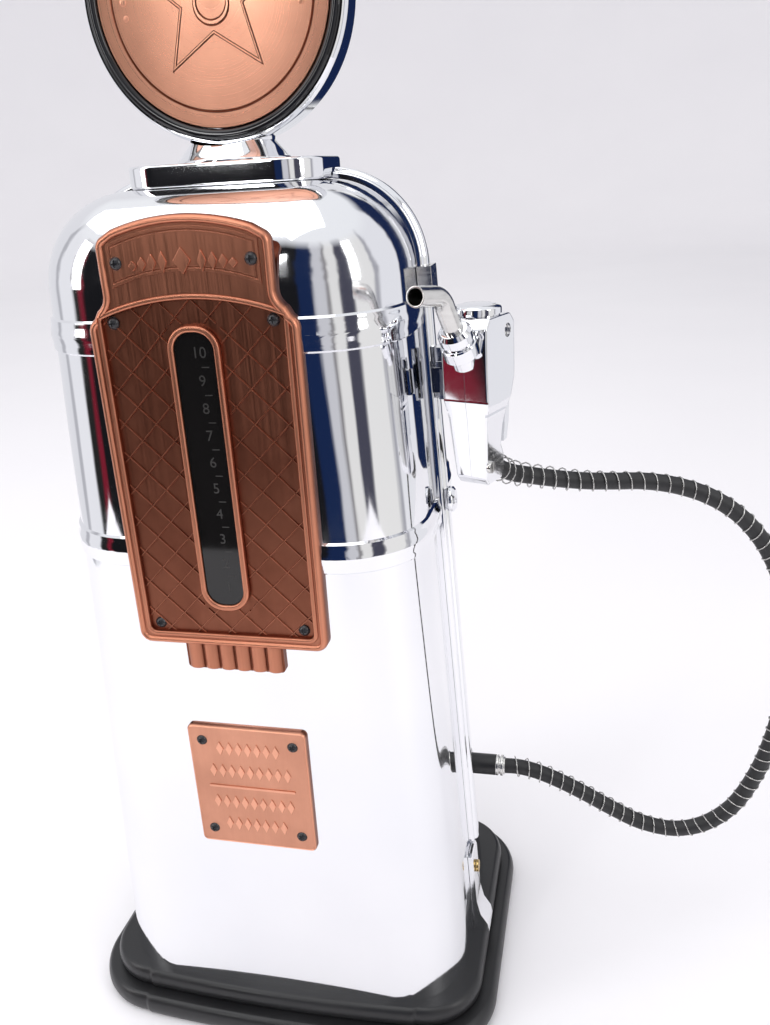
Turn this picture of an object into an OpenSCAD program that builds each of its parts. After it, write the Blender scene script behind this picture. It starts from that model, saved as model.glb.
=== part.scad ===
// Table-top drinks dispenser in the shape of a vintage gas pump.
// Millimetres, +Z up, front towards -Y, origin at the middle of the underside.

/* [Base] */
// Width of the base
base_w = 180; // [165:1:210]
// Depth of the base
base_d = 136; // [128:1:160]
// Height of the base
base_h = 18; // [16:0.5:24]
// Corner radius of the base
base_r = 30; // [24:1:34]
// Height of the lower tier
tier_h = 9.5; // [8:0.5:11]
// How far the upper tier steps in
tier_step = 6; // [4:0.5:7]
// How far the front of the base bows out
base_bow = 3; // [2:0.5:5]
// Wall of the base moulding
base_wall = 3; // [2:0.25:4]

/* [Body] */
// Width of the body where it stands on the base
body_w = 155; // [148:1:160]
// Width of the body at its top
body_top_w = 123; // [112:1:132]
// Depth of the body
body_d = 118; // [108:1:122]
// Height of the body above the base
body_h = 321; // [300:1:345]
// Radius of the body's corners and shoulders
corner_r = 30; // [26:1:32]
// Wall of the body shells
shell_t = 2.4; // [1.8:0.1:3]
// How far the rear shell stands in from the front shell
rear_inset = 2.2; // [1.5:0.1:3]
// Where the two shells meet, from front to back
seam_y = -5; // [-10:1:5]
// Height of the lower belt rib
rib_low_z = 218; // [210:1:226]
// Height of the upper belt rib
rib_high_z = 294; // [288:1:300]
// Height of a belt rib
rib_h = 10; // [8:0.5:12]
// How far a belt rib stands out
rib_out = 2; // [1:0.25:3]

/* [Side trim] */
// Width of the arch trim, from front to back
trim_w = 8; // [6:0.5:10]
// How far the arch trim stands out
trim_out = 3.8; // [3:0.1:4.5]
// Height where the arch trim ends above the side brackets
trim_foot_z = 62; // [56:1:66]
// Height of the boss on each side
boss_z = 221; // [216:1:226]
// Height of the screw in each side bracket
bracket_z = 49; // [44:1:52]

/* [Front trim] */
// Width of the copper bezel
bezel_w = 72; // [66:1:76]
// Lower edge of the bezel
bezel_low = 183; // [178:1:188]
// Shoulder of the bezel
bezel_high = 303; // [298:1:308]
// Width of the bezel's head
head_w = 58.5; // [52:0.5:62]
// Top of the bezel's arched head
head_top = 332; // [329:1:334]
// Depth of the bezel
bezel_t = 3.6; // [3:0.1:4.5]
// Width of the bezel's rolled rim
rim_w = 3.6; // [3:0.1:4.5]
// Width of the sight window
window_w = 13.6; // [11:0.1:16]
// Lower end of the sight window
window_low = 200; // [196:1:204]
// Upper end of the sight window
window_high = 296; // [292:1:299]
// Width of the copper plaque
plaque_w = 47.5; // [42:0.5:52]
// Height of the copper plaque
plaque_h = 54; // [48:0.5:60]
// Height of the plaque's middle
plaque_z = 120.5; // [112:0.5:128]

/* [Globe] */
// Outer radius of the globe
globe_r = 46; // [42:0.5:50]
// Depth of the globe
globe_d = 17; // [16:0.5:20]
// Radius of the copper discs
disc_r = 40.4; // [37:0.1:41]
// Width of the top plate
plate_w = 70; // [64:1:76]
// Depth of the top plate
plate_d = 46; // [44:1:50]
// Middle of the lid and the globe, from front to back
lid_y = -8; // [-10:0.5:-6]
// Thickness of the top plate
plate_t = 7.5; // [6.5:0.5:9]
// Height of the stem between the plate and the globe
stem_h = 5; // [4:0.5:8]

/* [Tank] */
// Width of the tank
tank_w = 100; // [88:1:102]
// Depth of the tank
tank_d = 92; // [80:1:94]
// Underside of the tank
tank_z = 98; // [94:1:104]
// Top face of the tank
tank_top = 318; // [312:1:320]
// Wall of the tank
tank_t = 2.5; // [2:0.1:3]
// Bore radius of the filler neck
neck_bore = 13; // [11:0.5:13.5]
// Wall of the filler neck
neck_t = 3; // [2.5:0.1:3.5]

/* [Nozzle] */
// Place of the nozzle: its middle, where the head meets the handle
nozzle_x = 86.5; // [85:0.5:90]
// Place of the nozzle from front to back
nozzle_y = -29; // [-34:0.5:-24]
// Height where the nozzle's head meets its handle
nozzle_z = 277; // [272:0.5:282]
// How far the nozzle turns towards the front of the body
nozzle_turn = 20; // [14:1:24]
// Thickness of the nozzle's two halves together
nozzle_w = 17; // [15:0.5:19]
// Outer radius of the spout tube
spout_r = 3.2; // [3:0.1:3.6]
// Bore radius of the spout tube
spout_bore = 2.6; // [2.2:0.1:2.8]
// Full pull of the trigger, in degrees
trigger_pull = 16; // [8:1:18]

/* [Hose] */
// Outer diameter of the hose
hose_d = 6.5; // [5:0.5:7]
// Outer diameter of the ferrules on the hose
ferrule_d = 9; // [8:0.5:10]

/* [Fits] */
// Clearance between pieces that are put together
clear = 0.2; // [0.1:0.05:0.3]
// Radial running clearance of pins and stems
run_clear = 0.05; // [0.02:0.01:0.08]

/* [Hidden] */

$fn = 64;
hull_fn = 32;
eps = 0.01;
body_top = base_h + body_h;
front_y = -body_d/2;
taper = (body_w - body_top_w)/2/body_h;
taper_deg = atan(taper);
chrome = [0.82, 0.83, 0.85];
copper = [0.66, 0.38, 0.26];
black = [0.08, 0.08, 0.09];
steel = [0.7, 0.7, 0.72];

// Base details
bow_step = 1;
deck_t = 3;
cover_t = 2;
pad_r = 8;
pad_t = 1.2;
cover_screw_x = base_w/2 - 22;
cover_screw_y = base_d/2 - 22;
cover_screw_r = 1.5;
deck_hole_w = 90;
deck_hole_d = 60;

// Body details
rib_step = 5;
tank_y = -2;
neck_r = neck_bore + neck_t;
flange_r = neck_r + 4.5;
flange_t = 2;
port_y = 8;
port_z = 91;
port_r = 4.5;
port_flange_r = 6.5;
port_flange_t = 2.4;
port_x = half_w(port_z - port_flange_r) - rear_inset + 0.05;
outlet_r = 3.5;
outlet_bore = 2.2;
trim_y = seam_y;
rim_d = 3.6;
bracket_y = -9;
bracket_w = 12;
bracket_t = 2.4;
bracket_screw_r = 1.2;

// Front trim details
head_corner_z = head_top - 6;
tab_w = 37.5;
tab_h = 10;
flutes = 6;
panel_t = 1.6;
panel_half = bezel_w/2 - rim_w - clear;
panel_low = bezel_low + rim_w + clear;
panel_rise = 6;
panel_high = bezel_high + 4.5 - clear;
plate_low = panel_high - 0.6;
plate_half = head_w/2 - 3.4;
plate_top = head_top - 2.8;
window_z = (window_low + window_high)/2;
window_h = window_high - window_low;
rim_ring = 2.2;
lens_edge = 2.5;
screw_r = 1;
screw_head_r = 2.1;
plate_screw_x = 22.6;
plate_screw_z = 318.5;
panel_screw_x = 27.4;
panel_screw_low = 190.5;
panel_screw_high = 299.5;
plaque_screw_x = 18.2;
plaque_screw_dz = 20.5;

// Globe details
plate_z = body_top;
stem_z = plate_z + plate_t;
globe_z = stem_z + stem_h + globe_r;
lip_r = globe_r - 1.3;
ledge_y = globe_d/2 - 4.6;

// Nozzle details, in the nozzle's own frame: -Y to the spout, +Z up
head_h = 17.5;
head_front = -10;
head_back = 11;
waist_h = 15;
grip_h = 40;
pivot_y = 8;
pivot_z = -9;
pin_r = 1;
stem_r = 1.6;
stem_z_local = -15;
stem_travel_ratio = 6.2;
trigger_w = 7;
ear_gap = 0.3;
hook_y = 3;
hook_clear = 0.3;
cradle_low = nozzle_z - 11;
cradle_h = 9;

ferrule_l = 4;
ferrule_bore = 1.9;
stub_l = 7;
stub_r = 2;
exit_y = 6.3;
exit_z = -34.6;
exit_dip = 32;
spout_rise = 22.5;
spout_bend_r = 8;
spout_bend = 51;
spout_reach = 11.4;
port_end = 90;

// Hose route, from the nozzle to the side port
hose_points = [[89.9, -19.8, 240.2], [91.2, -16.2, 237.9], [93.5, -12.3, 235.3], [97.2, -8.7, 233],
  [102, -5.6, 231.3], [108, -2.8, 229.6], [115, 0, 228], [123, 2.8, 226.6], [133, 6, 225.6], [144, 9, 224.8],
  [156, 11.3, 222.4], [168, 12.5, 218], [179, 13.5, 210.6], [188.3, 14.4, 200], [195.3, 15, 187], [199.8, 15, 172],
  [202.2, 15, 156], [202.7, 15, 140], [201.8, 15, 125], [199.3, 15, 109], [194.5, 14.7, 92], [186.5, 14, 76],
  [175.5, 13, 66.3], [163, 12, 62.8], [149, 11, 65.5], [137, 10, 71.8], [125, 9.2, 79], [114, 8.6, 85],
  [104, 8.2, 89.2], [96, 8, 91], [port_end, 8, 91]];

// ---- shared shapes ----

function half_w(z) = body_w/2 - taper*(z - base_h);

module rrect(w, d, r) {
  square([w - 2*r, d], center = true);
  square([w, d - 2*r], center = true);
  for (sx = [-1, 1], sy = [-1, 1])
    translate([sx*(w/2 - r), sy*(d/2 - r)]) circle(r);
}

// Outline of the base, whose bowed front ends in a small step at each side
module base_outline(inset) {
  w = base_w - 2*inset;
  d = base_d - 2*inset;
  bow_half = base_w/2 - base_r - 4;
  rise = base_bow - bow_step;
  bow_r = (bow_half*bow_half + rise*rise)/2/rise;
  rrect(w, d, base_r - inset);
  intersection() {
    translate([0, -d/2 - base_bow + bow_r]) circle(bow_r, $fn = 360);
    translate([-bow_half, -d/2 - base_bow - 1]) square([2*bow_half, 20]);
  }
}

// Stack of slabs that rounds the edge of a tier
module tier(z, h, inset) {
  steps = 5;
  for (i = [0:steps - 1]) {
    angle = -60 + 120*(i + 0.5)/steps;
    translate([0, 0, z + h*i/steps])
      linear_extrude(h/steps + (i < steps - 1 ? eps : 0))
        base_outline(inset + 2.4*(1 - cos(angle)));
  }
}

// Solid body with tapering sides and round shoulders
module body_block(grow, low) {
  hull() for (sx = [-1, 1], sy = [-1, 1]) {
    translate([sx*(half_w(low) - corner_r), sy*(body_d/2 - corner_r), low])
      cylinder(r = corner_r + grow, h = 1, $fn = hull_fn);
    translate([sx*(half_w(body_top - corner_r) - corner_r), sy*(body_d/2 - corner_r), body_top - corner_r]) {
      translate([0, 0, -1]) cylinder(r = corner_r + grow, h = 1, $fn = hull_fn);
      sphere(r = corner_r + grow, $fn = hull_fn);
    }
  }
}

// One solid band of a belt rib
module rib_band(z, h, out) {
  hull() for (sx = [-1, 1], sy = [-1, 1])
    translate([sx*(half_w(z) - corner_r), sy*(body_d/2 - corner_r), z - h/2]) {
      cylinder(r = corner_r + out*0.4, h = h, $fn = hull_fn);
      translate([0, 0, h*0.2]) cylinder(r = corner_r + out, h = h*0.6, $fn = hull_fn);
    }
}

// Hollow body with its ribs, made smaller by inset; the ribs stop at the arch trim
module body_shell(inset) {
  difference() {
    union() {
      body_block(-inset, base_h);
      difference() {
        for (z = [rib_low_z, rib_high_z]) {
          rib_band(z, rib_h, rib_out/2 - inset);
          rib_band(z, rib_step, rib_out - inset);
        }
        translate([-100, trim_y - trim_w/2 - 0.05, 0]) cube([200, trim_w + 0.1, 400]);
      }
    }
    body_block(-shell_t - inset, base_h - 2);
    // hole for the filler neck
    translate([0, lid_y, body_top - 10]) cylinder(r = neck_r + clear, h = 20);
  }
}

// Cross-section of the body at the seam, in X and Z, with real arcs
module seam_outline(grow, low) {
  cz = body_top - corner_r;
  cx = half_w(cz) - corner_r;
  r = corner_r + grow;
  tx = cx + r*cos(taper_deg);
  tz = cz + r*sin(taper_deg);
  bx = tx + taper*(tz - low);
  polygon([[-bx, low], [bx, low], [tx, tz], [cx, cz + r], [-cx, cz + r], [-tx, tz]]);
  for (sx = [-1, 1]) translate([sx*cx, cz]) circle(r);
}

// Puts a front-view outline on the front face: X across, Y of the outline up
module on_front(y, t) {
  translate([0, y, 0]) rotate([90, 0, 0]) linear_extrude(t) children();
}

module bezel_outline(inset) {
  w = bezel_w - 2*inset;
  low = bezel_low + inset;
  high = bezel_high - inset;
  half = head_w/2 - inset;
  rise = head_top - head_corner_z;
  arc_half = head_w/2;
  arc_r = (arc_half*arc_half + rise*rise)/2/rise;
  translate([0, (low + high)/2]) rrect(w, high - low, 4);
  translate([-half, high - 10]) square([2*half, head_corner_z - high + 10]);
  intersection() {
    translate([0, head_top - arc_r]) circle(arc_r - inset, $fn = 180);
    translate([-half, head_corner_z - 12]) square([2*half, 30]);
  }
}

// Banner with an arched top and an arched bottom
module head_plate_outline(grow) {
  rise = 5;
  half = plate_half + grow;
  arc_r = (plate_half*plate_half + rise*rise)/2/rise;
  intersection() {
    translate([0, plate_top - arc_r]) circle(arc_r + grow, $fn = 180);
    translate([-half, plate_low - 10]) square([2*half, 40]);
    difference() {
      translate([-half, plate_low - 10]) square([2*half, 40]);
      translate([0, plate_low + rise - arc_r]) circle(arc_r - grow, $fn = 180);
    }
  }
}

// Opening of the bezel, with an arched top
module panel_outline(grow) {
  half = panel_half + grow;
  arc_r = (panel_half*panel_half + panel_rise*panel_rise)/2/panel_rise;
  low = panel_low - grow;
  translate([0, (low + bezel_high - 6)/2]) rrect(2*half, bezel_high - 6 - low, 3);
  intersection() {
    translate([0, panel_high - arc_r]) circle(arc_r + grow, $fn = 180);
    translate([-half, bezel_high - 20]) square([2*half, 40]);
  }
}

module window_outline(grow) {
  translate([0, window_z]) rrect(window_w + 2*grow, window_h + 2*grow, window_w/2 + grow - 1);
}

// A screw that lies along Y with its head to the front
module front_screw(x, y, z, length) {
  translate([x, y, z]) rotate([90, 0, 0]) {
    difference() {
      union() {
        cylinder(r = screw_head_r, h = 1);
        translate([0, 0, 1]) cylinder(r1 = screw_head_r, r2 = screw_head_r - 0.7, h = 0.6);
        translate([0, 0, -length]) cylinder(r = screw_r, h = length + eps);
      }
      for (a = [0, 90]) rotate([0, 0, a]) translate([-1.1, -0.25, 1.1]) cube([2.2, 0.5, 1]);
    }
  }
}

module front_hole(x, y, z, length) {
  translate([x, y + length, z]) rotate([90, 0, 0]) cylinder(r = screw_r + clear, h = length + 10);
}

module panel_screw_places() {
  for (sx = [-1, 1], z = [panel_screw_low, panel_screw_high]) translate([sx*panel_screw_x, 0, z]) children();
}

module plate_screw_places() {
  for (sx = [-1, 1]) translate([sx*plate_screw_x, 0, plate_screw_z]) children();
}

module plaque_screw_places() {
  for (sx = [-1, 1], sz = [-1, 1])
    translate([sx*plaque_screw_x, 0, plaque_z + sz*plaque_screw_dz]) children();
}

module trim_holes() {
  panel_screw_places() front_hole(0, front_y, 0, 8);
  plate_screw_places() front_hole(0, front_y, 0, 8);
  plaque_screw_places() front_hole(0, front_y, 0, 8);
}

module place_nozzle() {
  translate([nozzle_x, nozzle_y, nozzle_z]) rotate([0, 0, -nozzle_turn]) children();
}

// ---- base ----

module base_plinth() {
  color(black) difference() {
    union() {
      tier(0, tier_h, 0);
      tier(tier_h, base_h - tier_h, tier_step);
    }
    translate([0, 0, -eps]) linear_extrude(cover_t + clear) base_outline(base_wall + 2.4);
    difference() {
      linear_extrude(base_h - deck_t) base_outline(base_wall + tier_step + 2.4);
      for (sx = [-1, 1], sy = [-1, 1])
        translate([sx*cover_screw_x, sy*cover_screw_y, cover_t]) cylinder(r = 4, h = base_h);
    }
    for (sx = [-1, 1], sy = [-1, 1])
      translate([sx*cover_screw_x, sy*cover_screw_y, 0]) cylinder(r = cover_screw_r + clear, h = base_h - deck_t);
    translate([0, 0, base_h - deck_t - 1]) linear_extrude(deck_t + 2) rrect(deck_hole_w, deck_hole_d, 12);
  }
}

module base_cover() {
  color(black) difference() {
    linear_extrude(cover_t) base_outline(base_wall + 2.4 + clear);
    for (sx = [-1, 1], sy = [-1, 1]) {
      translate([sx*cover_screw_x, sy*cover_screw_y, -1]) cylinder(r = cover_screw_r + clear, h = cover_t + 2);
      translate([sx*cover_screw_x, sy*cover_screw_y, -1]) cylinder(r = 3.2, h = 1.9);
      translate([sx*(cover_screw_x - 16), sy*cover_screw_y, -1]) cylinder(r = pad_r + clear, h = pad_t + 1);
    }
  }
}

module cover_screws() {
  color(steel) for (sx = [-1, 1], sy = [-1, 1])
    translate([sx*cover_screw_x, sy*cover_screw_y, 0.1]) difference() {
      union() {
        cylinder(r = 3, h = 0.8);
        cylinder(r = cover_screw_r, h = base_h - deck_t - 2);
      }
      for (a = [0, 90]) rotate([0, 0, a]) translate([-1.5, -0.3, -1]) cube([3, 0.6, 1.5]);
    }
}

module foot_pads() {
  color([0.2, 0.2, 0.2]) for (sx = [-1, 1], sy = [-1, 1])
    translate([sx*(cover_screw_x - 16), sy*cover_screw_y, 0]) cylinder(r = pad_r, h = pad_t);
}

// ---- body ----

module front_shell() {
  color(chrome) difference() {
    intersection() {
      body_shell(0);
      translate([-100, -100, 0]) cube([200, 100 + seam_y, 400]);
    }
    on_front(front_y + 10, 20) window_outline(clear);
    // the belt ribs end at the bezel
    on_front(front_y, 20) bezel_outline(-clear);
    trim_holes();
    bracket_screw_places() translate([0, 0, -6]) cylinder(r = bracket_screw_r + clear, h = 12);
  }
}

module rear_shell() {
  color(chrome) difference() {
    union() {
      intersection() {
        body_shell(rear_inset);
        translate([-100, seam_y, 0]) cube([200, 100, 400]);
      }
      // rim that fills out to the front shell, under the arch trim
      translate([0, seam_y + rim_d, 0]) rotate([90, 0, 0]) linear_extrude(rim_d) difference() {
        seam_outline(0, base_h);
        seam_outline(-shell_t - rear_inset + 0.3, base_h - 1);
      }
    }
    translate([0, lid_y, body_top - 10]) cylinder(r = neck_r + clear, h = 20);
    translate([half_w(port_z) - 12, port_y, port_z]) rotate([0, 90, 0]) cylinder(r = outlet_r + clear, h = 24);
  }
}

module arch_trim() {
  color(chrome) difference() {
    union() {
      translate([0, trim_y + trim_w/2, 0]) rotate([90, 0, 0]) linear_extrude(trim_w)
        seam_outline(trim_out*0.6, trim_foot_z);
      translate([0, trim_y + trim_w/4, 0]) rotate([90, 0, 0]) linear_extrude(trim_w/2)
        seam_outline(trim_out, trim_foot_z);
    }
    translate([0, trim_y + trim_w, 0]) rotate([90, 0, 0]) linear_extrude(2*trim_w)
      seam_outline(0.05, trim_foot_z - 1);
    cradle_screw_places() translate([0, 0, -2.6]) cylinder(r = screw_r + clear, h = 6);
    // the top plate stands over the middle of the arch
    translate([-plate_w/2 - clear, -50, plate_z - 1]) cube([plate_w + 2*clear, 100, 20]);
  }
}

// Clip over the straight of the right bead, where the trim's two halves meet
module trim_ferrule() {
  ferrule_h = 9;
  ferrule_z = 304;
  wall = 1.4;
  side_w = trim_w + 2*clear;
  color(steel) translate([half_w(ferrule_z), trim_y, ferrule_z]) rotate([0, -taper_deg, 0])
    difference() {
      translate([clear, -side_w/2 - wall, -ferrule_h/2])
        cube([trim_out + wall, side_w + 2*wall, ferrule_h]);
      translate([0, -side_w/2, -ferrule_h])
        cube([trim_out + clear, side_w, 2*ferrule_h]);
    }
}

module side_bosses() {
  boss_r = 5;
  color(chrome) for (sx = [-1, 1])
    difference() {
      translate([sx*(half_w(boss_z) + trim_out + 0.05), trim_y, boss_z]) rotate([0, sx*(90 - taper_deg), 0])
        union() {
          cylinder(r = boss_r, h = 1.6);
          translate([0, 0, 1.6]) cylinder(r1 = boss_r, r2 = boss_r - 1.4, h = 1);
        }
      translate([sx*(half_w(boss_z) + trim_out + 1), trim_y, boss_z]) rotate([0, sx*(90 - taper_deg), 0])
        cylinder(r = 1.3, h = 10);
      translate([0, 40, 0]) rotate([90, 0, 0]) linear_extrude(80) seam_outline(trim_out + 0.05, 100);
    }
}

// Brackets that hold the body down at the sides, flared at the foot
module side_brackets() {
  top = bracket_z + 9;
  color(chrome) for (sx = [-1, 1]) difference() {
    mirror([sx < 0 ? 1 : 0, 0, 0]) translate([0, bracket_y + bracket_w/2, 0]) rotate([90, 0, 0])
      linear_extrude(bracket_w) polygon([[half_w(top) - 2, top], [half_w(top) + 1.6, top],
        [half_w(top) + bracket_t, top - 1.5], [half_w(34) + bracket_t, 34], [half_w(27) + bracket_t + 1.2, 27],
        [half_w(22) + bracket_t + 4, 22], [half_w(20) + bracket_t + 4.6, base_h + eps],
        [half_w(base_h) - 2, base_h + eps]]);
    translate([0, 40, 0]) rotate([90, 0, 0]) linear_extrude(80) seam_outline(0.05, 0);
    bracket_screw_places() translate([0, 0, -6]) cylinder(r = bracket_screw_r + clear, h = 20);
  }
}

// Outer face of each bracket, at its screw
module bracket_screw_places() {
  for (sx = [-1, 1])
    translate([sx*(half_w(bracket_z) + bracket_t), bracket_y, bracket_z]) rotate([0, sx*(90 - taper_deg), 0]) children();
}

module bracket_screws() {
  color([0.72, 0.55, 0.28]) bracket_screw_places() difference() {
    union() {
      translate([0, 0, 0.05]) cylinder(r = 2.6, h = 1.2);
      translate([0, 0, -5.4]) cylinder(r = bracket_screw_r, h = 5.5);
    }
    translate([-2, -0.3, 0.75]) cube([4, 0.6, 2]);
  }
}

// ---- tank ----

module tank() {
  color([0.85, 0.9, 0.92, 0.5]) difference() {
    union() {
      translate([0, tank_y, tank_z]) linear_extrude(tank_top - tank_z) rrect(tank_w, tank_d, 14);
      translate([0, lid_y, tank_top - 1]) cylinder(r = neck_r, h = body_top - tank_top + 1 + flange_t);
      translate([0, lid_y, body_top]) cylinder(r = flange_r, h = flange_t);
    }
    translate([0, tank_y, tank_z + tank_t]) linear_extrude(tank_top - tank_z - 2*tank_t)
      rrect(tank_w - 2*tank_t, tank_d - 2*tank_t, 14 - tank_t);
    translate([0, lid_y, tank_top - 5]) cylinder(r = neck_bore, h = 60);
    translate([tank_w/2 - 15, port_y, tank_z - 1]) cylinder(r = outlet_bore + 1 + clear, h = 10);
  }
}

module tank_outlet() {
  x = tank_w/2 - 15;
  end_x = port_x;
  color(steel) difference() {
    union() {
      translate([x, port_y, port_z - outlet_r]) cylinder(r = outlet_bore + 1, h = tank_z + tank_t - port_z + outlet_r);
      translate([x, port_y, port_z - outlet_r]) cylinder(r = 5, h = tank_z - port_z + outlet_r - 0.05);
      translate([x, port_y, port_z]) rotate([0, 90, 0]) cylinder(r = outlet_r, h = end_x - x);
    }
    translate([x, port_y, port_z]) cylinder(r = outlet_bore, h = 30);
    translate([x, port_y, port_z]) rotate([0, 90, 0]) cylinder(r = outlet_bore, h = 60);
  }
}

module filler_gasket() {
  color([0.9, 0.9, 0.88]) translate([0, lid_y, body_top + flange_t]) difference() {
    cylinder(r = flange_r - 1, h = 1);
    translate([0, 0, -1]) cylinder(r = neck_bore + clear, h = 4);
  }
}

module window_lens() {
  color([0.1, 0.1, 0.12]) union() {
    on_front(front_y + shell_t + 0.05, shell_t + panel_t + 1) window_outline(-0.05);
    on_front(front_y + shell_t + 1.3, 1.2) window_outline(lens_edge);
  }
}

module level_scale() {
  color("white") on_front(front_y + shell_t + 1.75, 0.45)
    translate([3.4, window_z]) square([5, window_h - 6], center = true);
}

// ---- front trim ----

module window_rim() {
  color(copper) on_front(front_y - panel_t, 2.4) difference() {
    window_outline(rim_ring);
    window_outline(clear/2);
  }
}

module bezel() {
  color(copper) difference() {
    union() {
      on_front(front_y, bezel_t) bezel_outline(0);
      on_front(front_y, bezel_t - 1.2) translate([-tab_w/2, bezel_low - tab_h]) square([tab_w, tab_h + 2]);
      intersection() {
        for (i = [0:flutes - 1])
          translate([(i - (flutes - 1)/2)*tab_w/flutes, front_y - bezel_t + 1.7, bezel_low - tab_h + 1])
            cylinder(r = tab_w/flutes/2, h = tab_h + 1);
        translate([-tab_w/2, front_y - 10, 0]) cube([tab_w, 10, 400]);
      }
    }
    // opening that holds the lattice panel
    on_front(front_y + 1, 20) panel_outline(clear);
    // recess of the name-plate, and the low field round it
    on_front(front_y - bezel_t + 1.8, 10) head_plate_outline(clear);
    plate_screw_places() front_hole(0, front_y, 0, 1);
  }
}

module lattice_panel() {
  spacing = 11.7;
  groove = 0.7;
  color(copper) difference() {
    on_front(front_y, panel_t) panel_outline(0);
    on_front(front_y + 1, 10) window_outline(clear/2);
    panel_screw_places() front_hole(0, front_y, 0, 1);
    // crossed grooves that leave the quilted diamonds
    for (a = [-1, 1], i = [-8:8])
      translate([0, front_y - panel_t, (panel_low + panel_high)/2 + i*spacing])
        rotate([0, a*45, 0]) translate([-70, -groove/2, -groove/2]) cube([140, groove, groove]);
  }
}

module name_plate() {
  color(copper) difference() {
    on_front(front_y - bezel_t + 1.8, 1.4) head_plate_outline(0);
    on_front(front_y - bezel_t + 1.8 - 1, 5) difference() {
      head_plate_outline(-1.6);
      head_plate_outline(-2.1);
    }
    plate_screw_places() front_hole(0, front_y, 0, 1);
  }
}

module trim_screws() {
  color(black) {
    panel_screw_places() front_screw(0, front_y - panel_t, 0, panel_t + shell_t + 1);
    plate_screw_places() front_screw(0, front_y - bezel_t + 0.4, 0, bezel_t + shell_t + 0.6);
  }
}

module lower_plaque() {
  t = 2;
  color(copper) difference() {
    on_front(front_y, t) translate([0, plaque_z]) rrect(plaque_w, plaque_h, 2);
    difference() {
      on_front(front_y - t + 0.6, 5) translate([0, plaque_z]) rrect(plaque_w - 3, plaque_h - 3, 1.2);
      on_front(front_y, 10) translate([0, plaque_z]) square([plaque_w - 12, 1.4], center = true);
      plaque_screw_places() rotate([90, 0, 0]) cylinder(r = screw_head_r + 0.8, h = 100);
    }
    plaque_screw_places() front_hole(0, front_y, 0, 1);
  }
}

module plaque_screws() {
  color(black) plaque_screw_places() front_screw(0, front_y - 2, 0, 2 + shell_t + 1);
}

// ---- globe and lid ----

module top_plate() {
  color(chrome) translate([0, lid_y, plate_z]) difference() {
    union() {
      linear_extrude(plate_t - 1) rrect(plate_w, plate_d, 14);
      translate([0, 0, plate_t - 1 - eps]) linear_extrude(1 + eps) rrect(plate_w - 1.6, plate_d - 1.6, 13.2);
    }
    translate([0, 0, -1]) cylinder(r = flange_r + 0.5, h = flange_t + 2.2);
  }
}

module filler_plug() {
  top = plate_z + flange_t + 1.2;
  low = tank_top - 2;
  color([0.9, 0.9, 0.88]) translate([0, lid_y, 0]) difference() {
    translate([0, 0, low]) cylinder(r = neck_bore - 0.6, h = top - low);
    translate([0, 0, low - 1]) cylinder(r = neck_bore - 3, h = top - low - 2);
    for (z = [low + 4, low + 10]) translate([0, 0, z]) difference() {
      cylinder(r = neck_bore, h = 1.6);
      translate([0, 0, -1]) cylinder(r = neck_bore - 1.4, h = 4);
    }
  }
}

module globe_stem() {
  foot = 20;
  waist = 14.8;
  curve = 5.2;
  color(chrome) difference() {
    translate([0, lid_y, stem_z]) rotate_extrude() difference() {
      square([foot, curve + 3]);
      translate([waist + curve, curve + 1]) circle(curve);
      translate([waist, curve + 1]) square([20, 20]);
    }
    translate([0, 40, globe_z]) rotate([90, 0, 0]) cylinder(r = globe_r + 0.05, h = 80, $fn = 128);
  }
}

// Half of the globe's drum: profile from the middle to the front lip
module drum_half() {
  half = globe_d/2;
  round_r = 4.5;
  rotate_extrude($fn = 128) difference() {
    union() {
      square([globe_r, half - round_r]);
      square([globe_r - round_r, half]);
      translate([globe_r - round_r, half - round_r]) circle(round_r);
    }
    // hollow behind the ledge, and the seat of the ring in front of it
    translate([-eps, -eps]) square([disc_r - 3, half + 1]);
    translate([-eps, ledge_y]) square([lip_r + eps, half]);
    translate([-eps, -1]) square([lip_r - 1.4, ledge_y - 1.4]);
    translate([-50, -50]) square([50, 100]);
    translate([-50, -50]) square([100, 50]);
  }
}

module globe_front() {
  color(chrome) translate([0, lid_y, globe_z]) rotate([90, 0, 0]) drum_half();
}

module globe_rear() {
  color(chrome) translate([0, lid_y, globe_z]) rotate([-90, 0, 0]) drum_half();
}

module ring_shape() {
  difference() {
    translate([0, 0, ledge_y]) cylinder(r = lip_r - clear, h = 4.2, $fn = 128);
    translate([0, 0, ledge_y - 1]) cylinder(r = disc_r - 2.5, h = 8, $fn = 128);
    translate([0, 0, ledge_y + 1.4]) cylinder(r = disc_r + clear, h = 8, $fn = 128);
  }
}

module disc_shape() {
  star_out = 27;
  star_in = 11.5;
  difference() {
    translate([0, 0, ledge_y + 1.4]) cylinder(r = disc_r, h = 1.8, $fn = 128);
    translate([0, 0, ledge_y + 2.8]) difference() {
      cylinder(r = disc_r - 5, h = 2);
      translate([0, 0, -1]) cylinder(r = disc_r - 5.6, h = 4);
    }
    translate([0, 0, ledge_y + 2.9]) linear_extrude(2) difference() {
      star(star_out, star_in);
      star(star_out - 1.6, star_in - 0.7);
    }
  }
}

module star(outer, inner) {
  polygon([for (i = [0:9]) let (r = i % 2 == 0 ? outer : inner, a = 90 + 36*i) [r*cos(a), r*sin(a)]]);
}

module front_ring() {
  color(black) translate([0, lid_y, globe_z]) rotate([90, 0, 0]) ring_shape();
}

module rear_ring() {
  color(black) translate([0, lid_y, globe_z]) rotate([-90, 0, 0]) mirror([0, 1, 0]) ring_shape();
}

module front_disc() {
  color(copper) translate([0, lid_y, globe_z]) rotate([90, 0, 0]) disc_shape();
}

module rear_disc() {
  color(copper) translate([0, lid_y, globe_z]) rotate([-90, 0, 0]) mirror([0, 1, 0]) disc_shape();
}

// ---- nozzle, in its own frame ----

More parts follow.
